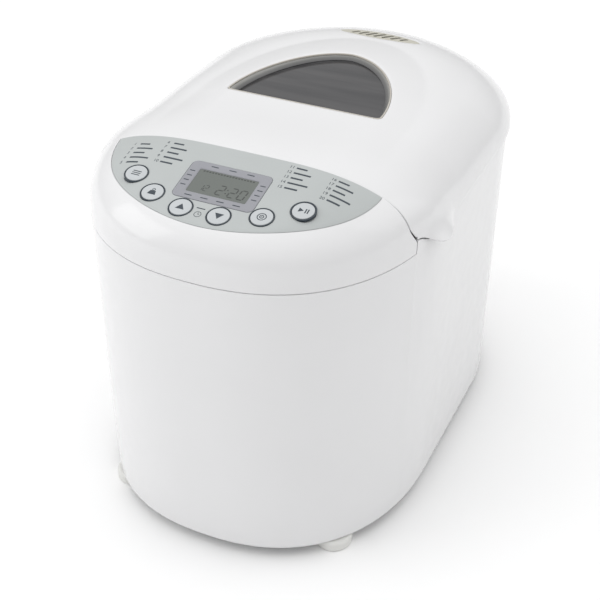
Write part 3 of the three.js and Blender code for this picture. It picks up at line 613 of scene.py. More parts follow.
def inside(points, loops):
    """Which points lie inside the first closed loop and outside the others."""
    x, y = points.T
    result = np.zeros(len(points), bool)
    for loop in loops:
        for (x0, y0), (x1, y1) in zip(loop, np.roll(loop, -1, 0)):
            crosses = (y0 > y) != (y1 > y)
            if crosses.any():
                result ^= crosses & (x < (x1 - x0) * (y - y0) / ((y1 - y0) or 1e-12) + x0)
    return result


def triangulated(loops, lines, spacing):
    """Triangles inside the first loop, outside the others and along the lines.

    A loop or line is (points, drop). Returns the points, the triangles and how far each point drops."""
    points = []
    drops = []
    links = []
    for number, (run, drop) in enumerate(loops + lines):
        start = len(points)
        points += [tuple(p) for p in run]
        drops += [drop] * len(run)
        links += [(start + i, start + i + 1) for i in range(len(run) - 1)]
        if number < len(loops):
            links.append((start + len(run) - 1, start))
    loops = [loop for loop, _ in loops]
    tree = KDTree(len(points))
    for i, (x, y) in enumerate(points):
        tree.insert((x, y, 0), i)
    tree.balance()
    low, high = loops[0].min(0), loops[0].max(0)
    rows = np.arange(low[1], high[1], spacing * math.sqrt(3) / 2)
    columns = np.arange(low[0], high[0], spacing)
    grid = np.array([(x + (k % 2) * spacing / 2, y) for k, y in enumerate(rows) for x in columns])
    for x, y in grid[inside(grid, loops)]:
        if tree.find((x, y, 0))[2] > 0.62 * spacing:
            points.append((x, y))
            drops.append(0.0)
    found = delaunay_2d_cdt([Vector(p) for p in points], links, [], 0, 1e-6, True)
    vertices = np.array([tuple(v) for v in found[0]])
    triangles = np.array(found[2])
    triangles = triangles[inside(vertices[triangles].mean(1), loops)]
    a, b = (vertices[triangles[:, k]] - vertices[triangles[:, 0]] for k in (1, 2))
    down = a[:, 0] * b[:, 1] - a[:, 1] * b[:, 0] < 0
    triangles[down] = triangles[down][:, ::-1]
    return vertices, triangles, np.array([drops[sources[0]] if sources else 0.0 for sources in found[3]])


def vertex_normals(vertices, triangles):
    corners = vertices[triangles]
    normals = np.cross(corners[:, 1] - corners[:, 0], corners[:, 2] - corners[:, 0])
    total = np.zeros_like(vertices)
    for k in range(3):
        np.add.at(total, triangles[:, k], normals)
    return total / np.maximum(np.linalg.norm(total, axis=1), 1e-12)[:, None]


def thickened(vertices, triangles, thickness):
    """A closed shell: the surface, its inner side and the walls between."""
    used = np.unique(triangles)
    index = np.full(len(vertices), -1)
    index[used] = np.arange(len(used))
    obj = new_object("shell", (vertices[used], index[triangles].tolist()))
    solid = obj.modifiers.new("thickness", "SOLIDIFY")
    solid.thickness = thickness * MM
    solid.offset = -1
    applied(obj)
    return obj


def rounding(radius, steps=(0.15, 0.5, 1.0)):
    """(distance, drop) pairs of a round edge."""
    return [(radius * t, radius * (1 - math.sqrt(1 - (1 - t) ** 2))) for t in steps]


def split_line(y):
    """The line across the body at y, from rim to rim, on the spread plan."""
    power = FRONT_ARC.power
    half = HALF_WIDTH * (1 - ((FRONT_ARC.y - y) / FRONT_ARC.reach) ** power) ** (1 / power)
    x = half * np.sin(np.linspace(-math.pi / 2, math.pi / 2, 900))
    return resampled(to_spread(columns(x, y)), RIM_SPACING)


def rim_line(y, behind):
    """The rim on the spread plan, as one run from the line at y to itself."""
    whole = outline(0.0, 900, 200)
    keep = whole[:, 1] > y if behind else whole[:, 1] < y
    return resampled(run_of(scaled(whole, RIM_SPREAD / level_of(whole)), keep), RIM_SPACING)


def bevel_rim(obj, width, below, before=1000.0):
    """Rounds an object's sharp edges that lie below a height and in front of a line."""
    mesh = bmesh.new()
    mesh.from_mesh(obj.data)
    edges = []
    for edge in mesh.edges:
        if len(edge.link_faces) == 2 and edge.calc_face_angle() > math.radians(50):
            middle = (edge.verts[0].co + edge.verts[1].co) / 2 / MM
            if middle.z < below and middle.y < before:
                edges.append(edge)
    bmesh.ops.bevel(mesh, geom=edges, offset=width * MM, segments=2, affect="EDGES", clamp_overlap=True)
    mesh.to_mesh(obj.data)
    mesh.free()


# ---- outlines on the lid and the panel


def bend(a, b, c, count):
    """Points on a curve from a to c, pulled towards b."""
    t = np.linspace(0, 1, count)[:, None]
    return (1 - t) ** 2 * np.array(a) + 2 * t * (1 - t) * np.array(b) + t**2 * np.array(c)


def window_outline(grow, spacing=1.6):
    """A pointed arch with small front corners and a straight front edge."""
    half, corner = WINDOW.half_width + grow, WINDOW.corner
    side, front = WINDOW.y, WINDOW.front - grow
    angles = np.linspace(0, math.pi, 240)
    c, s = np.cos(angles), np.maximum(np.sin(angles), 0)
    power = 2 / WINDOW.power
    across = half * np.sign(c) * np.abs(c) ** power
    arch = columns(across, side + (WINDOW.length + grow) * s**power)
    left = bend((-half, side), (-half, front), (corner - half, front), 16)
    right = bend((half - corner, front), (half, front), (half, side), 16)
    return resampled(np.vstack([arch[:-1], left, right[:-1]]), spacing, closed=True)


def window_ring(grow, count=420):
    """The window's outline with a given number of points."""
    return resampled(window_outline(grow, 1.0), closed=True, count=count)


def vent_outline(grow, spacing=1.2):
    """A flat ellipse."""
    ring = circle(1.0, 200) * (VENT.half_width + grow, VENT.half_length + grow)
    return resampled(ring + (0, VENT.y), spacing, closed=True)


def film_edge(inset, back, spacing=1.5):
    """The film's curved front edge, from left to right, as far back as the line at `back`."""
    length = FILM.length - inset
    first = math.asin((FILM.y - back) / length)
    angles = np.linspace(math.pi + first, 2 * math.pi - first, 400)
    x = (FILM.half_width - inset) * np.cos(angles)
    return resampled(columns(x, FILM.y + length * np.sin(angles)), spacing)


def inside_film(points, inset):
    across = points[:, 0] / (FILM.half_width - inset)
    return np.hypot(across, (points[:, 1] - FILM.y) / (FILM.length - inset)) < 1.0


def panel_to_plan(points):
    """From across and up-slope on the panel to the plan."""
    return columns(points[:, 0], PANEL_CENTRE.y + points[:, 1] * math.cos(PANEL_TILT))


# ---- housing


def seam_height(points):
    """The housing's top edge: lower under the console, higher behind it, with a notch at the hinge."""
    x, y = points.T
    behind = smooth(clamp01((y - STEP_Y) / STEP_RUN))
    notch = smooth(clamp01((42 - np.abs(x)) / 2.5)) * (y > 150)
    return mix(SEAM_Z - 0.3, SEAM_Z + 2.2 + 0.92 * rim_lift(y), behind) - 4.2 * notch


def housing_shell():
    outer = [(-TAPER - 1.5, 0.0), (-TAPER - 0.9, 0.0006), (-TAPER - 0.35, 0.0035), (-TAPER - 0.05, 0.008)]
    outer += [(-TAPER * (1 - t), t) for t in np.linspace(0.012, 0.985, 16)]
    rim = [(0.0, 0.9975), (-0.12, 0.9992), (-0.5, 1.0), (-WALL + 0.4, 1.0), (-WALL, 0.998)]
    inner = [(-WALL - TAPER * (1 - t), t) for t in np.linspace(0.985, 0.0, 10)]
    top = seam_height(outline())
    rings = [at_height(outline(grow), mix(FOOT_Z, top, share)) for grow, share in outer + rim + inner]
    obj = new_object("housing", skin(rings, closed=True))
    slot = prism(rounded_rectangle(1.3, 18, 1.25, steps=6), -15.0, 15.0)
    for i in range(9):
        cut_away(obj, along_y(slot, (i - 4) * 8, 192, 78))
    cut_away(obj, along_y(turned([(6.4, -12), (6.4, 12)]), 0, REAR_ARC.y + REAR_ARC.reach, INLET_Z))
    piece("housing_shell", obj, "shell", ["lower_housing"], angle=40)


def rim_lift(y):
    """How far the lid's rim rises towards the split."""
    return LID_LIFT.rise * smooth(clamp01((LID_LIFT.y - y) / LID_LIFT.length))


def overhang(vertices):
    """Moves the lid's rim out over the housing, from nothing at the split, and draws out the finger lips."""
    x, y, z = vertices.T
    near_rim = smooth(clamp01((level_of(vertices[:, :2]) - 0.8) / 0.2))
    out = near_rim * smooth(clamp01((y - SPLIT_Y) / 30))
    low = clamp01(1 - (z - LID_RIM_Z) / LIP.height) ** LIP.sweep
    along = (y - LIP.y) / np.where(y < LIP.y, LIP.front, LIP.back)
    lip = near_rim * low * clamp01(1 - along**2) ** 2
    side = (SIDE_OVERHANG * out + LIP.reach * lip) * clamp01(np.abs(x) / HALF_WIDTH * 1.25) * np.sign(x)
    rear = REAR_OVERHANG * out * clamp01((y - REAR_ARC.y) / REAR_ARC.reach)
    up = rim_lift(y) * clamp01(1 - (z - LID_RIM_Z) / LID_LIFT.height) * near_rim
    return vertices + columns(side, rear, up)


def lid_cover():
    soft = 0.6
    loops = [(np.vstack([rim_line(LID_FRONT, behind=True), split_line(LID_FRONT)[1:-1]]), 0.0)]
    lines = [(split_line(LID_FRONT + distance)[1:-1], drop) for distance, drop in rounding(soft)]
    for shape, radius in ((window_outline, 0.9), (vent_outline, 0.6)):
        loops.append((to_spread(shape(0.0)), radius))
        lines += [(closed_run(to_spread(shape(distance))), drop) for distance, drop in rounding(radius)]
    flat, triangles, drop = triangulated(loops, lines, 2.7)
    drop[np.abs(from_spread(flat)[:, 1] - LID_FRONT) < 0.02] = soft
    plan = from_spread(bent_back(flat))
    vertices = overhang(at_height(plan, lid_height(plan)))
    vertices -= vertex_normals(vertices, triangles) * drop[:, None]
    obj = thickened(vertices, triangles, SKIN)
    notch = rounded_rectangle(HINGE.half + 0.6, 8, 0.5, HINGE.y + 4)
    cut_away(obj, prism(notch, 230, 246))
    bevel_rim(obj, 0.5, LID_RIM_Z + 0.2, 180)
    piece("lid_cover", obj, "shell", ["lid_shell"], "lid", 38)


def closed_run(points):
    """A loop's points with the first one again at the end."""
    return np.vstack([points, points[:1]])


def console_holes(radius, grow):
    """The holes for the keys and the display, in the plan."""
    holes = [panel_to_plan(circle(radius, 40) + centre) for centre in BUTTONS.values()]
    frame_hole = rounded_rectangle(*(size + grow for size in DISPLAY_FRAME), steps=6)
    return holes + [resampled(panel_to_plan(frame_hole), 1.5, closed=True)]


def console_shell():
    edge = np.vstack([rim_line(CONSOLE_BACK, behind=False), split_line(CONSOLE_BACK)[-2:0:-1]])
    lines = [(to_spread(film_edge(inset, CONSOLE_BACK)[1:-1]), 0.0) for inset in (-0.32, -0.4, -0.7, -1.4)]
    holes = [(to_spread(hole), 0.0) for hole in console_holes(8.6, -4.0)]
    flat, triangles, _ = triangulated([(edge, 0.0), *holes], lines, 2.4)
    plan = from_spread(bent_back(flat))
    height = console_height(plan) - 1.0 * inside_film(plan, -0.36)
    obj = thickened(at_height(plan, np.maximum(height, SEAM_Z + 0.35)), triangles, SKIN)
    bevel_rim(obj, 0.35, SEAM_Z + 0.6)
    piece("console_shell", obj, "shell", ["top_cover"], angle=30)


def panel_film():
    back = CONSOLE_BACK - 0.1
    front = film_edge(0.0, back)
    rear = resampled(front[[-1, 0]], 1.5)
    holes = [(hole, 0.12) for hole in console_holes(8.4, 0.3)]
    lines = [(film_edge(0.35, back - 0.35), 0.0)]
    flat, triangles, drop = triangulated([(np.vstack([front, rear[1:-1]]), 0.18), *holes], lines, 2.2)
    obj = thickened(at_height(flat, console_height(flat) - drop), triangles, 0.7)
    piece("panel_film", obj, "panel", ["panel_overlay"], angle=50)


def console_wall():
    """The console's upright rear wall, seen when the lid is open."""
    back, foot = CONSOLE_BACK - 0.05, 231.2
    x = np.linspace(-118, 118, 300)
    height = console_height(columns(x + 1.3 * np.sign(x), back)) - 2.0
    keep = height > SEAM_Z + 1
    ring = np.array([(112.0, foot), *list(zip(x[keep], height[keep]))[::-1], (-112.0, foot)])
    rings = [columns(ring[:, 0], y, ring[:, 1]) for y in (back, back - SKIN)]
    piece("console_rear_wall", skin(rings), "shell")


def deck():
    """The flat deck around the baking chamber, with a lip that turns down into it."""
    rim = outline(-WALL - 0.5)
    edge = resampled(run_of(rim, rim[:, 1] > SPLIT_Y - 0.3), 3.0)
    edge = np.vstack([edge, resampled(edge[[-1, 0]], 3.0)[1:-1]])

    def opening(grow):
        sizes = np.array([CHAMBER.x, CHAMBER.y, CHAMBER.corner]) - CHAMBER.sheet + grow
        return resampled(rounded_rectangle(*sizes, PAN_Y), 3.0, closed=True)

    steps = rounding(2.0, (0.1, 0.3, 0.6, 1.0)) + [(5.0, 0), (5.6, 0.5), (9.4, 0.5), (10, 0)]
    lines = [(closed_run(opening(distance)), drop) for distance, drop in steps]
    flat, triangles, drop = triangulated([(edge, 0.0), (opening(0.0), 2.0)], lines, 5.0)
    piece("chamber_deck", thickened(at_height(flat, DECK_TOP - drop), triangles, 1.8), "shell", angle=50)


def hinge():
    """The lug on the deck and the two knuckles on the lid, all round the hinge pin."""
    radius, half, reach = HINGE.radius, HINGE.half, HINGE.reach

    def knuckle(low, high):
        ring = fillet([(1.8, low), (radius, low), (radius, high), (1.8, high)], 0.5, closed=True)
        return along_x(turned(ring, 40, closed=True), 0, HINGE.y, HINGE.z)

    web = prism(rounded_rectangle(half, 1.2, 0.4, HINGE.y - 2.0), 231.0, HINGE.z - 1.9)
    piece("hinge_lug", joined(knuckle(-half, half), web), "shell")
    piece("hinge_knuckles", joined(knuckle(half + 1, reach), knuckle(-reach, -half - 1)), "shell", body="lid")


def feet():
    profile = [(0.01, 0), (13, 0), (14, 1), (14, 7), (12.5, 8.6), (6, 8.6), (6, 9.7)]
    profile += [(4, 9.7), (4, 14), (0.01, 14)]
    foot = turned(fillet(profile, [0, 1.0, 0.8, 1.2, 0.8, 0.2, 0.3, 0.2, 0.5, 0]), 56)
    for place in ("front_left", "front_right", "rear_left", "rear_right"):
        low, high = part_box(f"foot_{place}")
        centre = (low + high) / 2 / MM
        piece(f"rubber_foot_{place}", moved(foot, centre.x, centre.y), "rubber", [f"foot_{place}"])


def inlet_bush():
    ring = [(3.5, -9), (9, -9), (9, -5.2), (6, -5.2), (6, -0.1), (9, -0.1), (9, 1.2), (7.5, 2), (3.5, 2)]
    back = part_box("cord_gland")[1].y / MM
    part = along_y(turned(fillet(ring, 0.5, closed=True), 48, closed=True), 0, back - 2, INLET_Z)
    piece("inlet_bush", part, "dark", ["cord_gland"])


# ---- display and keys


def display():
    """The frame round the display, blended from its opening to its outside, and the pane in it."""
    inner = rounded_rectangle(21.8, 11.4, 1.2, steps=10)
    outer = rounded_rectangle(*DISPLAY_FRAME, steps=10)
    steps = [(1.0, -0.65), (1.0, -0.12), (0.985, 0.08), (0.95, 0.19), (0.9, 0.2), (0.1, 0.2), (0.05, 0.14)]
    steps += [(0.0, 0.0), (-0.06, -0.25), (-0.06, -0.65)]
    frame_part = skin([at_height(mix(inner, outer, share), z) for share, z in steps], closed=True)
    piece("display_frame", on_panel(frame_part), "bezel", ["display_bezel"], angle=40)
    profile = [(0, -1.1), (0, -0.45), (-0.1, -0.35)]
    pane = swept(lambda offset: rounded_rectangle(21.4 + offset, 11 + offset, 1, steps=8), profile)
    piece("display_pane", on_panel(pane), "lens", ["display_lens"])


def bar_between(a, b, width, low, high):
    """A flat bar on the panel from a to b, in short steps so that it can follow a curve."""
    a, b = np.array(a, float), np.array(b, float)
    length = np.linalg.norm(b - a)
    side = np.array((a[1] - b[1], b[0] - a[0])) * width / 2 / length
    rings = []
    for t in np.linspace(0, 1, 2 + int(length / 1.5)):
        left, right = mix(a, b, t) + side, mix(a, b, t) - side
        rings.append(np.array([(*right, low), (*left, low), (*left, high), (*right, high)]))
    return skin(rings)


def pointed_bar(a, b, width, low, high):
    """A flat bar with pointed ends."""
    along = (b - a) / np.linalg.norm(b - a) * width / 2
    side = np.array((-along[1], along[0]))
    return prism([a, a + along - side, b - along - side, b, b - along + side, a + along + side], low, high)


def on_film(part):
    """Lays a part that is drawn flat onto the film, which curves down at its ends."""
    drawn = np.asarray(part[0])
    plan = panel_to_plan(drawn[:, :2])
    return at_height(plan, console_height(plan) + drawn[:, 2]), part[1]


# Each stroke of a digit runs from (x, y) to (x, y), in shares of its width and height.
STROKES = {"a": (0, 1, 1, 1), "b": (1, 1, 1, 0.5), "c": (1, 0.5, 1, 0), "d": (0, 0, 1, 0)}
STROKES |= {"e": (0, 0.5, 0, 0), "f": (0, 1, 0, 0.5), "g": (0, 0.5, 1, 0.5)}
DIGITS = {"2": "abged", "0": "abcdef", "1": "bc"}


def seven_segment(digit, x, y, height, low, high):
    """One slanted digit of a liquid crystal display, with its lower left corner at (x, y)."""
    bars = []
    for name in DIGITS[digit]:
        ends = np.reshape(STROKES[name], (2, 2)) * height
        a, b = ends * (0.5, 1) + ends[:, 1:] * (0.12, 0) + (x, y)
        gap = (b - a) / np.linalg.norm(b - a) * height * 0.03
        bars.append(pointed_bar(a + gap, b - gap, height * 0.11, low, high))
    return joined(*bars)


def display_digits():
    low, high = -0.4, -0.33
    digits = [("2", -2.0, -8.4, 8.6), ("2", 6.6, -8.4, 8.6), ("0", 13.4, -8.4, 8.6)]
    digits += [("1", -14.6, -7.6, 5.2), ("2", -11.0, -7.6, 5.2)]
    parts = [seven_segment(*digit, low, high) for digit in digits]
    parts += [prism(circle(0.55, 12) + (4.5 + lift * 0.12, -8.4 + lift), low, high) for lift in (2.6, 5.8)]
    # painted shadow: this row of small dark bars along the display's top edge stands in for the scalloped
    # shade that the recess's upper edge casts on the display
    parts += [bar_between((x, 9.7), (x + 1.4, 9.7), 1.1, low, high) for x in np.arange(18) * 2.1 - 18.6]
    piece("display_digits", on_panel(joined(*parts)), "lcd_ink")


def number_part(text, size, x, y, low, high):
    """A printed number with its lower left corner at (x, y)."""
    curve = bpy.data.curves.new("number", "FONT")
    curve.body = text
    curve.size = size
    curve.extrude = (high - low) / 2
    curve.resolution_u = 3
    holder = add_object("number", curve)
    mesh = evaluated_mesh(holder)
    vertices = np.array([v.co for v in mesh.vertices]) + (x, y, (low + high) / 2)
    faces = [tuple(p.vertices) for p in mesh.polygons]
    bpy.data.objects.remove(holder)
    bpy.data.meshes.remove(mesh)
    bpy.data.curves.remove(curve)
    return vertices, faces


def panel_print():
    """Numbered lines and a clock mark on the panel, and ticks on the display's frame."""
    low, high = -0.2, 0.045
    parts = []
    lengths = [9.0, 7.5, 12.0, 8.5, 14.0]
    for x, y, first in ((-79.3, 23.7, 1), (-55.6, 28.0, 6), (33.7, 30.0, 11), (63.3, 29.6, 16)):
        for row in range(5):
            number, base = first + row, y - row * 5.0
            parts.append(number_part(str(number), 3.6, x, base, low, high))
            start, end = (x + 5.0, base + 1.0), (x + 5.0 + lengths[number % 5], base + 1.0)
            parts.append(bar_between(start, end, 1.45, low, high))
    x, y = -3.3, -29.0
    parts.append(moved(flat_ring(2.1, 2.5, low, high), x, y))
    parts.append(bar_between((x, y), (x, y + 1.5), 0.35, low, high))
    parts.append(bar_between((x, y), (x + 1.1, y), 0.35, low, high))
    parts.append(bar_between((-6.5, -23.6), (-0.5, -23.6), 0.8, low, high))
    piece("panel_print", on_film(joined(*parts)), "ink")
    ticks = [(x, 14.6, 2.6) for x in (-12.5, 0.5, 13.5)]
    ticks += [(x, y, 1.85) for y in (7.4, 2.8, -1.8, -6.4) for x in (-25.45, 25.45)]
    ticks += [(x, -14.6, 2.6) for x in (-17.5, -6.0, 5.5, 17.0)]
    bars = [bar_between((x - half, y), (x + half, y), 0.8, 0.17, 0.235) for x, y, half in ticks]
    piece("display_frame_ticks", on_panel(joined(*bars)), "ink")


def key_symbol(name, low, high):
    """A plain mark for each key."""
    if name == "time_up":
        return prism([(-3.1, -2.0), (3.1, -2.0), (0, 2.9)], low, high)
    if name == "time_down":
        return prism([(-3.1, 2.0), (0, -2.9), (3.1, 2.0)], low, high)
    if name == "menu":
        return joined(*[bar_between((-3, y), (3, y), 0.7, low, high) for y in (-1.7, 0, 1.7)])
    if name == "weight":
        body = prism([(-2.9, -2.3), (2.9, -2.3), (1.9, 1.2), (-1.9, 1.2)], low, high)
        return joined(body, moved(flat_ring(0.7, 1.15, low, high, 24), 0, 2.2))
    if name == "colour":
        return joined(*[flat_ring(*radii, low, high) for radii in ((2.6, 3.2), (1.0, 1.6), (0.01, 0.4))])
    play = prism([(-3.2, -1.9), (0.2, 0), (-3.2, 1.9)], low, high)
    return joined(play, *[bar_between((x, -1.9), (x, 1.9), 0.8, low, high) for x in (1.6, 3.2)])


def keys():
    """Each key's cap with the mark on it, and the ring round it on the panel."""
    profile = [(0.01, -7.3), (2, -7.3), (2, -5.6), (9.6, -5.6), (9.6, -3.9), (7.3, -3.9)]
    profile += [(7.3, 0.32), (0.01, 0.36)]
    cap = turned(fillet(profile, [0, 0.2, 0.2, 0.3, 0.3, 0.2, 0.45, 0]), 56)
    for name, (u, v) in BUTTONS.items():
        wide = 8.65 if name == "start" else 8.3
        profile = [(7.62, -1.6), (8.3, -1.6), (8.3, 0.02), (wide, 0.02), (wide, 0.2), (7.62, 0.2)]
        ring = turned(fillet(profile, 0.08, closed=True), 72, closed=True)
        body = f"{name}_button_key"
        piece(f"{name}_key", on_panel(moved(cap, u, v)), "button", [f"{name}_button"], body)
        piece(f"{name}_key_mark", on_panel(moved(key_symbol(name, 0.3, 0.41), u, v)), "ink", body=body)
        piece(f"{name}_key_ring", on_panel(moved(ring, u, v)), "ink")


# ---- lid details


def window():
    """The sloping bevel round the window, the bead on it and the pane under it."""
    bevel = []
    for grow, share in ((-0.3, 0.0), (-0.5, 0.06), (-3.9, 0.9), (-4.4, 0.985), (-4.5, 1.0)):
        points = window_ring(grow)
        bevel.append(at_height(points, mix(lid_height(points) - 1.0, BEVEL_FOOT_Z + 0.15, share)))
    bevel += [at_height(window_ring(grow), BEVEL_FOOT_Z) for grow in (-4.5, -0.3)]
    piece("window_bevel", skin(bevel[::-1], closed=True), "trim", ["window_trim"], "lid", 50)
    bead = []
    for grow, drop in ((-0.2, 1.2), (-0.2, 0.35), (-0.45, 0.12), (-0.9, 0.12), (-1.15, 0.35), (-1.15, 1.2)):
        points = window_ring(grow)
        bead.append(at_height(points, lid_height(points) - drop))
    piece("window_bead", skin(bead[::-1], closed=True), "bead", body="lid", angle=50)
    steps = ((3.2, 0), (3.5, 0.3), (3.5, 2.7), (3.2, 3.0))
    count = len(window_outline(3.2))
    rings = [resampled(window_outline(grow), closed=True, count=count) for grow, _ in steps]
    pane = skin([at_height(ring, GLASS_Z + lift) for ring, (_, lift) in zip(rings, steps)])
    piece("window_pane", pane, "glass", ["window_glass"], "lid", 40)


def vent_insert():
    holes = []
    c, s = math.cos(0.6), math.sin(0.6)
    for x in np.arange(-3, 4) * 6.8:
        slot = rounded_rectangle(1.5, 6.2 * (1 - (x / VENT.half_width) ** 2), 1.2, steps=5)
        turned_slot = slot @ np.array([[c, -s], [s, c]]) + (x, VENT.y)
        holes.append((resampled(turned_slot, 0.7, closed=True), 0.12))
    lines = [(closed_run(vent_outline(-0.45, 0.9)), 0.05)]
    flat, triangles, drop = triangulated([(vent_outline(-0.25, 0.9), 0.3), *holes], lines, 1.1)
    obj = thickened(at_height(flat, lid_height(flat) - 0.15 - drop), triangles, 1.9)
    piece("vent_insert", obj, "grille", ["vent_grille"], "lid", 50)


def liner_outline(grow):
    middle = (LINER.front + LINER.back) / 2
    half = (LINER.back - LINER.front) / 2
    return rounded_rectangle(LINER.x + grow, half + grow, LINER.corner + grow, middle, steps=24)


def liner():
    """The pressed metal tray under the lid, its inner pane and its seal."""
    sheet, under, foot = LINER.sheet, LINER.under, 238.0
    over = under + sheet
    ring = window_ring(-2.0, 96)
    ring = np.roll(ring, -int(np.argmin(np.hypot(ring[:, 0] - 60, ring[:, 1] + 15))), 0)
    outer = [(9, foot), (9, foot + sheet), (1.2, foot + sheet), (0, 240.4), (0, over - 1.6), (-1.6, over)]
    inner = [(-2.6, under), (-sheet, under - 1.6), (-sheet, 239.6), (0.4, foot)]
    rings = [at_height(liner_outline(grow), z) for grow, z in fillet(outer, [0.2, 0.2, 1.0, 1.0, 1.6, 1.6])]
    rings += [at_height(ring, over), at_height(ring, under)]
    rings += [at_height(liner_outline(grow), z) for grow, z in fillet(inner, [0, 1.6, 1.0, 0.2])]
    piece("liner_tray", skin(rings, closed=True), "sheet", ["lid_liner"], "lid", 40)
    pane = prism(resampled(window_outline(4.0), closed=True, count=160), over + 0.3, under + 4)
    piece("inner_pane", pane, "glass", ["inner_glass"], "lid")
    seal = fillet([(4, 234.5), (8, 234.5), (8, 237.7), (4, 237.7)], [1.4, 1.4, 0.4, 0.4], closed=True)
    piece("seal_ring", swept(liner_outline, seal, closed=True), "rubber", ["lid_seal"], "lid")


def facing(loop, radius):
    """A circle about the pan's axis, with a point facing each point of a loop."""
    return radius * on_circle(np.arctan2(loop[:, 1] - PAN_Y, loop[:, 0])) + (0, PAN_Y)


# ---- baking chamber, pan and paddle


def chamber():
    x, y, corner = CHAMBER.x, CHAMBER.y, CHAMBER.corner
    floor, top, sheet = CHAMBER.floor, CHAMBER.top, CHAMBER.sheet
    bore = 14.5

    def tub(offset):
        if offset <= bore - x:
            return facing(tub(0), bore)
        return rounded_rectangle(x + offset, y + offset, corner + offset, PAN_Y, steps=16)

    outer = [(bore - x, floor), (0, floor), (0, top - sheet), (6, top - sheet), (6, top), (-sheet, top)]
    inner = [(-sheet, top), (-sheet, floor + sheet), (bore - x, floor + sheet)]
    profile = fillet(outer, [0, 6, 0.6, 0.2, 0.2, 0.6]) + fillet(inner, [0, 5.4, 0])[1:]
    piece("chamber_tub", swept(tub, profile, closed=True), "sheet", ["baking_chamber"])


def mirrored_path(right, radii, steps, spacing, z):
    """A level path with round corners, along the mirror image of its right half and then along that half."""
    left = [(-x, y) for x, y in right[::-1]]
    path = fillet(left + right, radii[::-1] + radii, steps=steps)
    return at_height(resampled(np.array(path), spacing), z)


def heater():
    """A bent tube round the chamber, whose ends pass through the front wall."""
    x, y, lead, corner = HEATER.x, HEATER.y, HEATER.lead, HEATER.corner
    front, end = PAN_Y - y, PAN_Y - CHAMBER.y - 16
    right = [(x, PAN_Y + y), (x, front), (lead, front), (lead, end)]
    path = mirrored_path(right, [corner, corner, 6, 0], 14, 2.5, HEATER.z)
    piece("heater_tube", tube(path, HEATER.radius, 20), "sheath", ["heating_element"])


def loaf_pan():
    """A deep-drawn pan with a soft foot, a pressed bead, a rolled rim and two riveted ears."""
    x, y, corner, bottom, top = PAN.x, PAN.y, PAN.corner, PAN.bottom, PAN.top
    sheet, draft = PAN.sheet, PAN.draft

    def shell(offset):
        return rounded_rectangle(x + offset, y + offset, corner + offset * 0.6, PAN_Y, steps=16)

    def wall(z, inset=0.0):
        bead = 0.6 * math.exp(-(((z - 176) / 3.0) ** 2))
        return (-draft * (top - z) / (top - bottom) - inset - bead, z)

    heights = [*np.linspace(bottom + 9, 166, 8), *np.linspace(168, 184, 13), 190.0]
    foot = [(a - draft, bottom + b) for a, b in ((-7.5, 0), (-3.4, 0.9), (-1.0, 3.3), (0.1, 7))]
    rim = [(0.0, 197.0), (2.0, 197.4), (2.5, 198.6), (2.0, 199.8), (0.6, 200.0), (-0.8, 199.6)]
    inside_foot = [(a - sheet, b + 0.4) for a, b in foot[:0:-1]] + [(-draft - 8, bottom + sheet)]
    profile = foot + [wall(z) for z in heights] + rim + [(-sheet, 198.6)]
    profile += [wall(z, sheet) for z in heights[::-1]] + inside_foot
    hole = facing(shell(0), 9.3)
    rings = [at_height(shell(offset), z) for offset, z in profile]
    parts = [skin([at_height(hole, bottom), *rings, at_height(hole, bottom + sheet)], closed=True)]
    ear, eye = rounded_rectangle(7, 5, 4.9, steps=8), circle(2.6, 32)
    loops = ((ear, -0.8), (eye, -0.8), (eye, 0.8), (ear, 0.8))
    plate = skin([at_height(loop, z) for loop, z in loops], closed=True)
    plate = transformed(plate, Matrix.Rotation(math.pi / 2, 4, "Z"))
    parts += [along_x(plate, side * 67.8, PAN_Y, 203) for side in (-1, 1)]
    piece("loaf_pan", joined(*parts), "coated", ["bread_pan"], "pan", 40)


def bail():
    arm, reach, end = 44.0, 72.5, 64.5
    right = [(reach, PAN_Y + arm), (reach, PAN_Y), (end, PAN_Y)]
    path = mirrored_path(right, [10, 3, 0], 10, 1.5, 203.0)
    piece("pan_bail", tube(path, 2.2), "steel", ["pan_handle"], "pan_bail")


def paddle():
    """The kneading paddle: a tapered hub and one curved wing with a soft edge."""
    hub = [(4.4, 79.4), (10, 79.4), (10.5, 82), (9, 103), (6, 106), (0.01, 106), (0.01, 101), (4.4, 101)]
    hub_part = moved(turned(fillet(hub, [0, 0.6, 1, 2, 2, 0, 0, 0]), 48, closed=True), 0, PAN_Y)
    tip = bend((44, 80), (52, 82), (47, 92), 14)[1:]
    top = bend((47, 92), (36, 112), (18, 108), 14)[1:]
    wing = np.vstack([[(6, 80), (26, 80), (44, 80)], tip, top, [(6, 100)]])
    centre = wing.mean(0)
    rings = []
    for depth, share in ((-2.5, 0.93), (-2.2, 0.975), (-1.4, 1.0), (1.4, 1.0), (2.2, 0.975), (2.5, 0.93)):
        x, z = (centre + (wing - centre) * share).T
        rings.append(columns(x, PAN_Y - depth, z))
    piece("dough_paddle", joined(hub_part, skin(rings)), "coated", ["kneading_paddle"], "paddle", 40)


# ---- frame nodes that stay


def finish_frame_nodes():
    """Every CAD node that still shows gets its slot's material."""
    slots = {entry["node"]: entry["material_slot"] for entry in frame["record"]["subparts"]}
    for name, node in frame["nodes"].items():
        if not node.hide_render:
            dress(node, slots[name], 40)


# ---- studio


SKY = Sizes(horizon=0.38, zenith=1.42)
LAMPS = {
    "overhead": ((-0.3, -0.2, 1.7), 1.8, 0.8),
    "left": ((-1.7, -1.0, 1.0), 1.4, 10.0),
    "right": ((1.5, 0.9, 1.5), 1.4, 3.0),
}


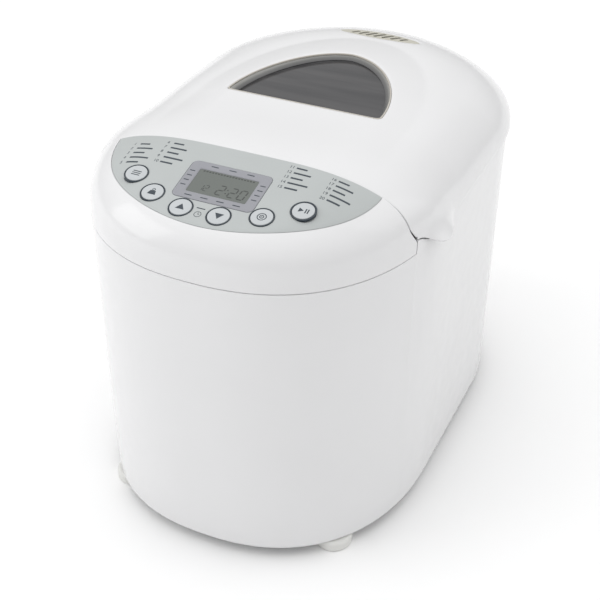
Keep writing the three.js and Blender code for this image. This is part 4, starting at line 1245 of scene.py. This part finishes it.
def studio():
    """White surroundings that brighten upwards, a pale floor and soft lamps."""
    world = bpy.data.worlds.new("studio")
    bpy.context.scene.world = world
    world.use_nodes = True
    tree = world.node_tree
    background = tree.nodes["Background"].inputs
    background["Color"].default_value = (1.0, 1.0, 1.0, 1)
    direction = add_node(tree, "ShaderNodeTexCoord", "Generated")
    height = add_node(tree, "ShaderNodeSeparateXYZ", "Z", Vector=direction)
    ends = {"To_Min": SKY.horizon, "To_Max": SKY.zenith}
    strength = add_node(tree, "ShaderNodeMapRange", "Result", Value=height, **ends)
    tree.links.new(strength, background["Strength"])
    corners = at_height(6000 * np.array([(-1, -1), (1, -1), (1, 1), (-1, 1)]), -0.2)
    floor = new_object("floor", (corners, [(0, 1, 2, 3)]))
    look = Look("pale_floor", 0.6)
    look.ramp(look.noise(3.0), [(0.3, (0.91, 0.91, 0.91)), (0.7, (0.93, 0.93, 0.93))])
    floor.data.materials.append(look.material)
    for name, (place, size, power) in LAMPS.items():
        data = bpy.data.lights.new(name, "AREA")
        data.size = size
        data.energy = power
        lamp = add_object(name, data)
        lamp.location = place
        aim = Vector((0, 0, 0.15)) - Vector(place)
        lamp.rotation_euler = aim.to_track_quat("-Z", "Y").to_euler()


def camera():
    azimuth, elevation, roll = (math.radians(a) for a in (24.5, 34.885, 0.11))
    data = bpy.data.cameras.new("camera")
    data.sensor_width = 36.0
    data.lens = 77.12
    obj = add_object("camera", data)
    turn = Matrix.Rotation(azimuth, 4, "Z") @ Matrix.Rotation(math.pi / 2 - elevation, 4, "X")
    obj.matrix_world = Matrix.Translation((0.343, -0.7754, 0.6884)) @ turn @ Matrix.Rotation(roll, 4, "Z")
    bpy.context.scene.camera = obj


def main():
    for build in (
        housing_shell, console_shell, panel_film, console_wall, deck, hinge, feet, inlet_bush,
        display, display_digits, panel_print, keys, lid_cover, window, vent_insert, liner,
        chamber, heater, loaf_pan, bail, paddle, finish_frame_nodes, studio, camera,
    ):
        build()
    bpy.context.scene.view_settings.view_transform = "Standard"


main()
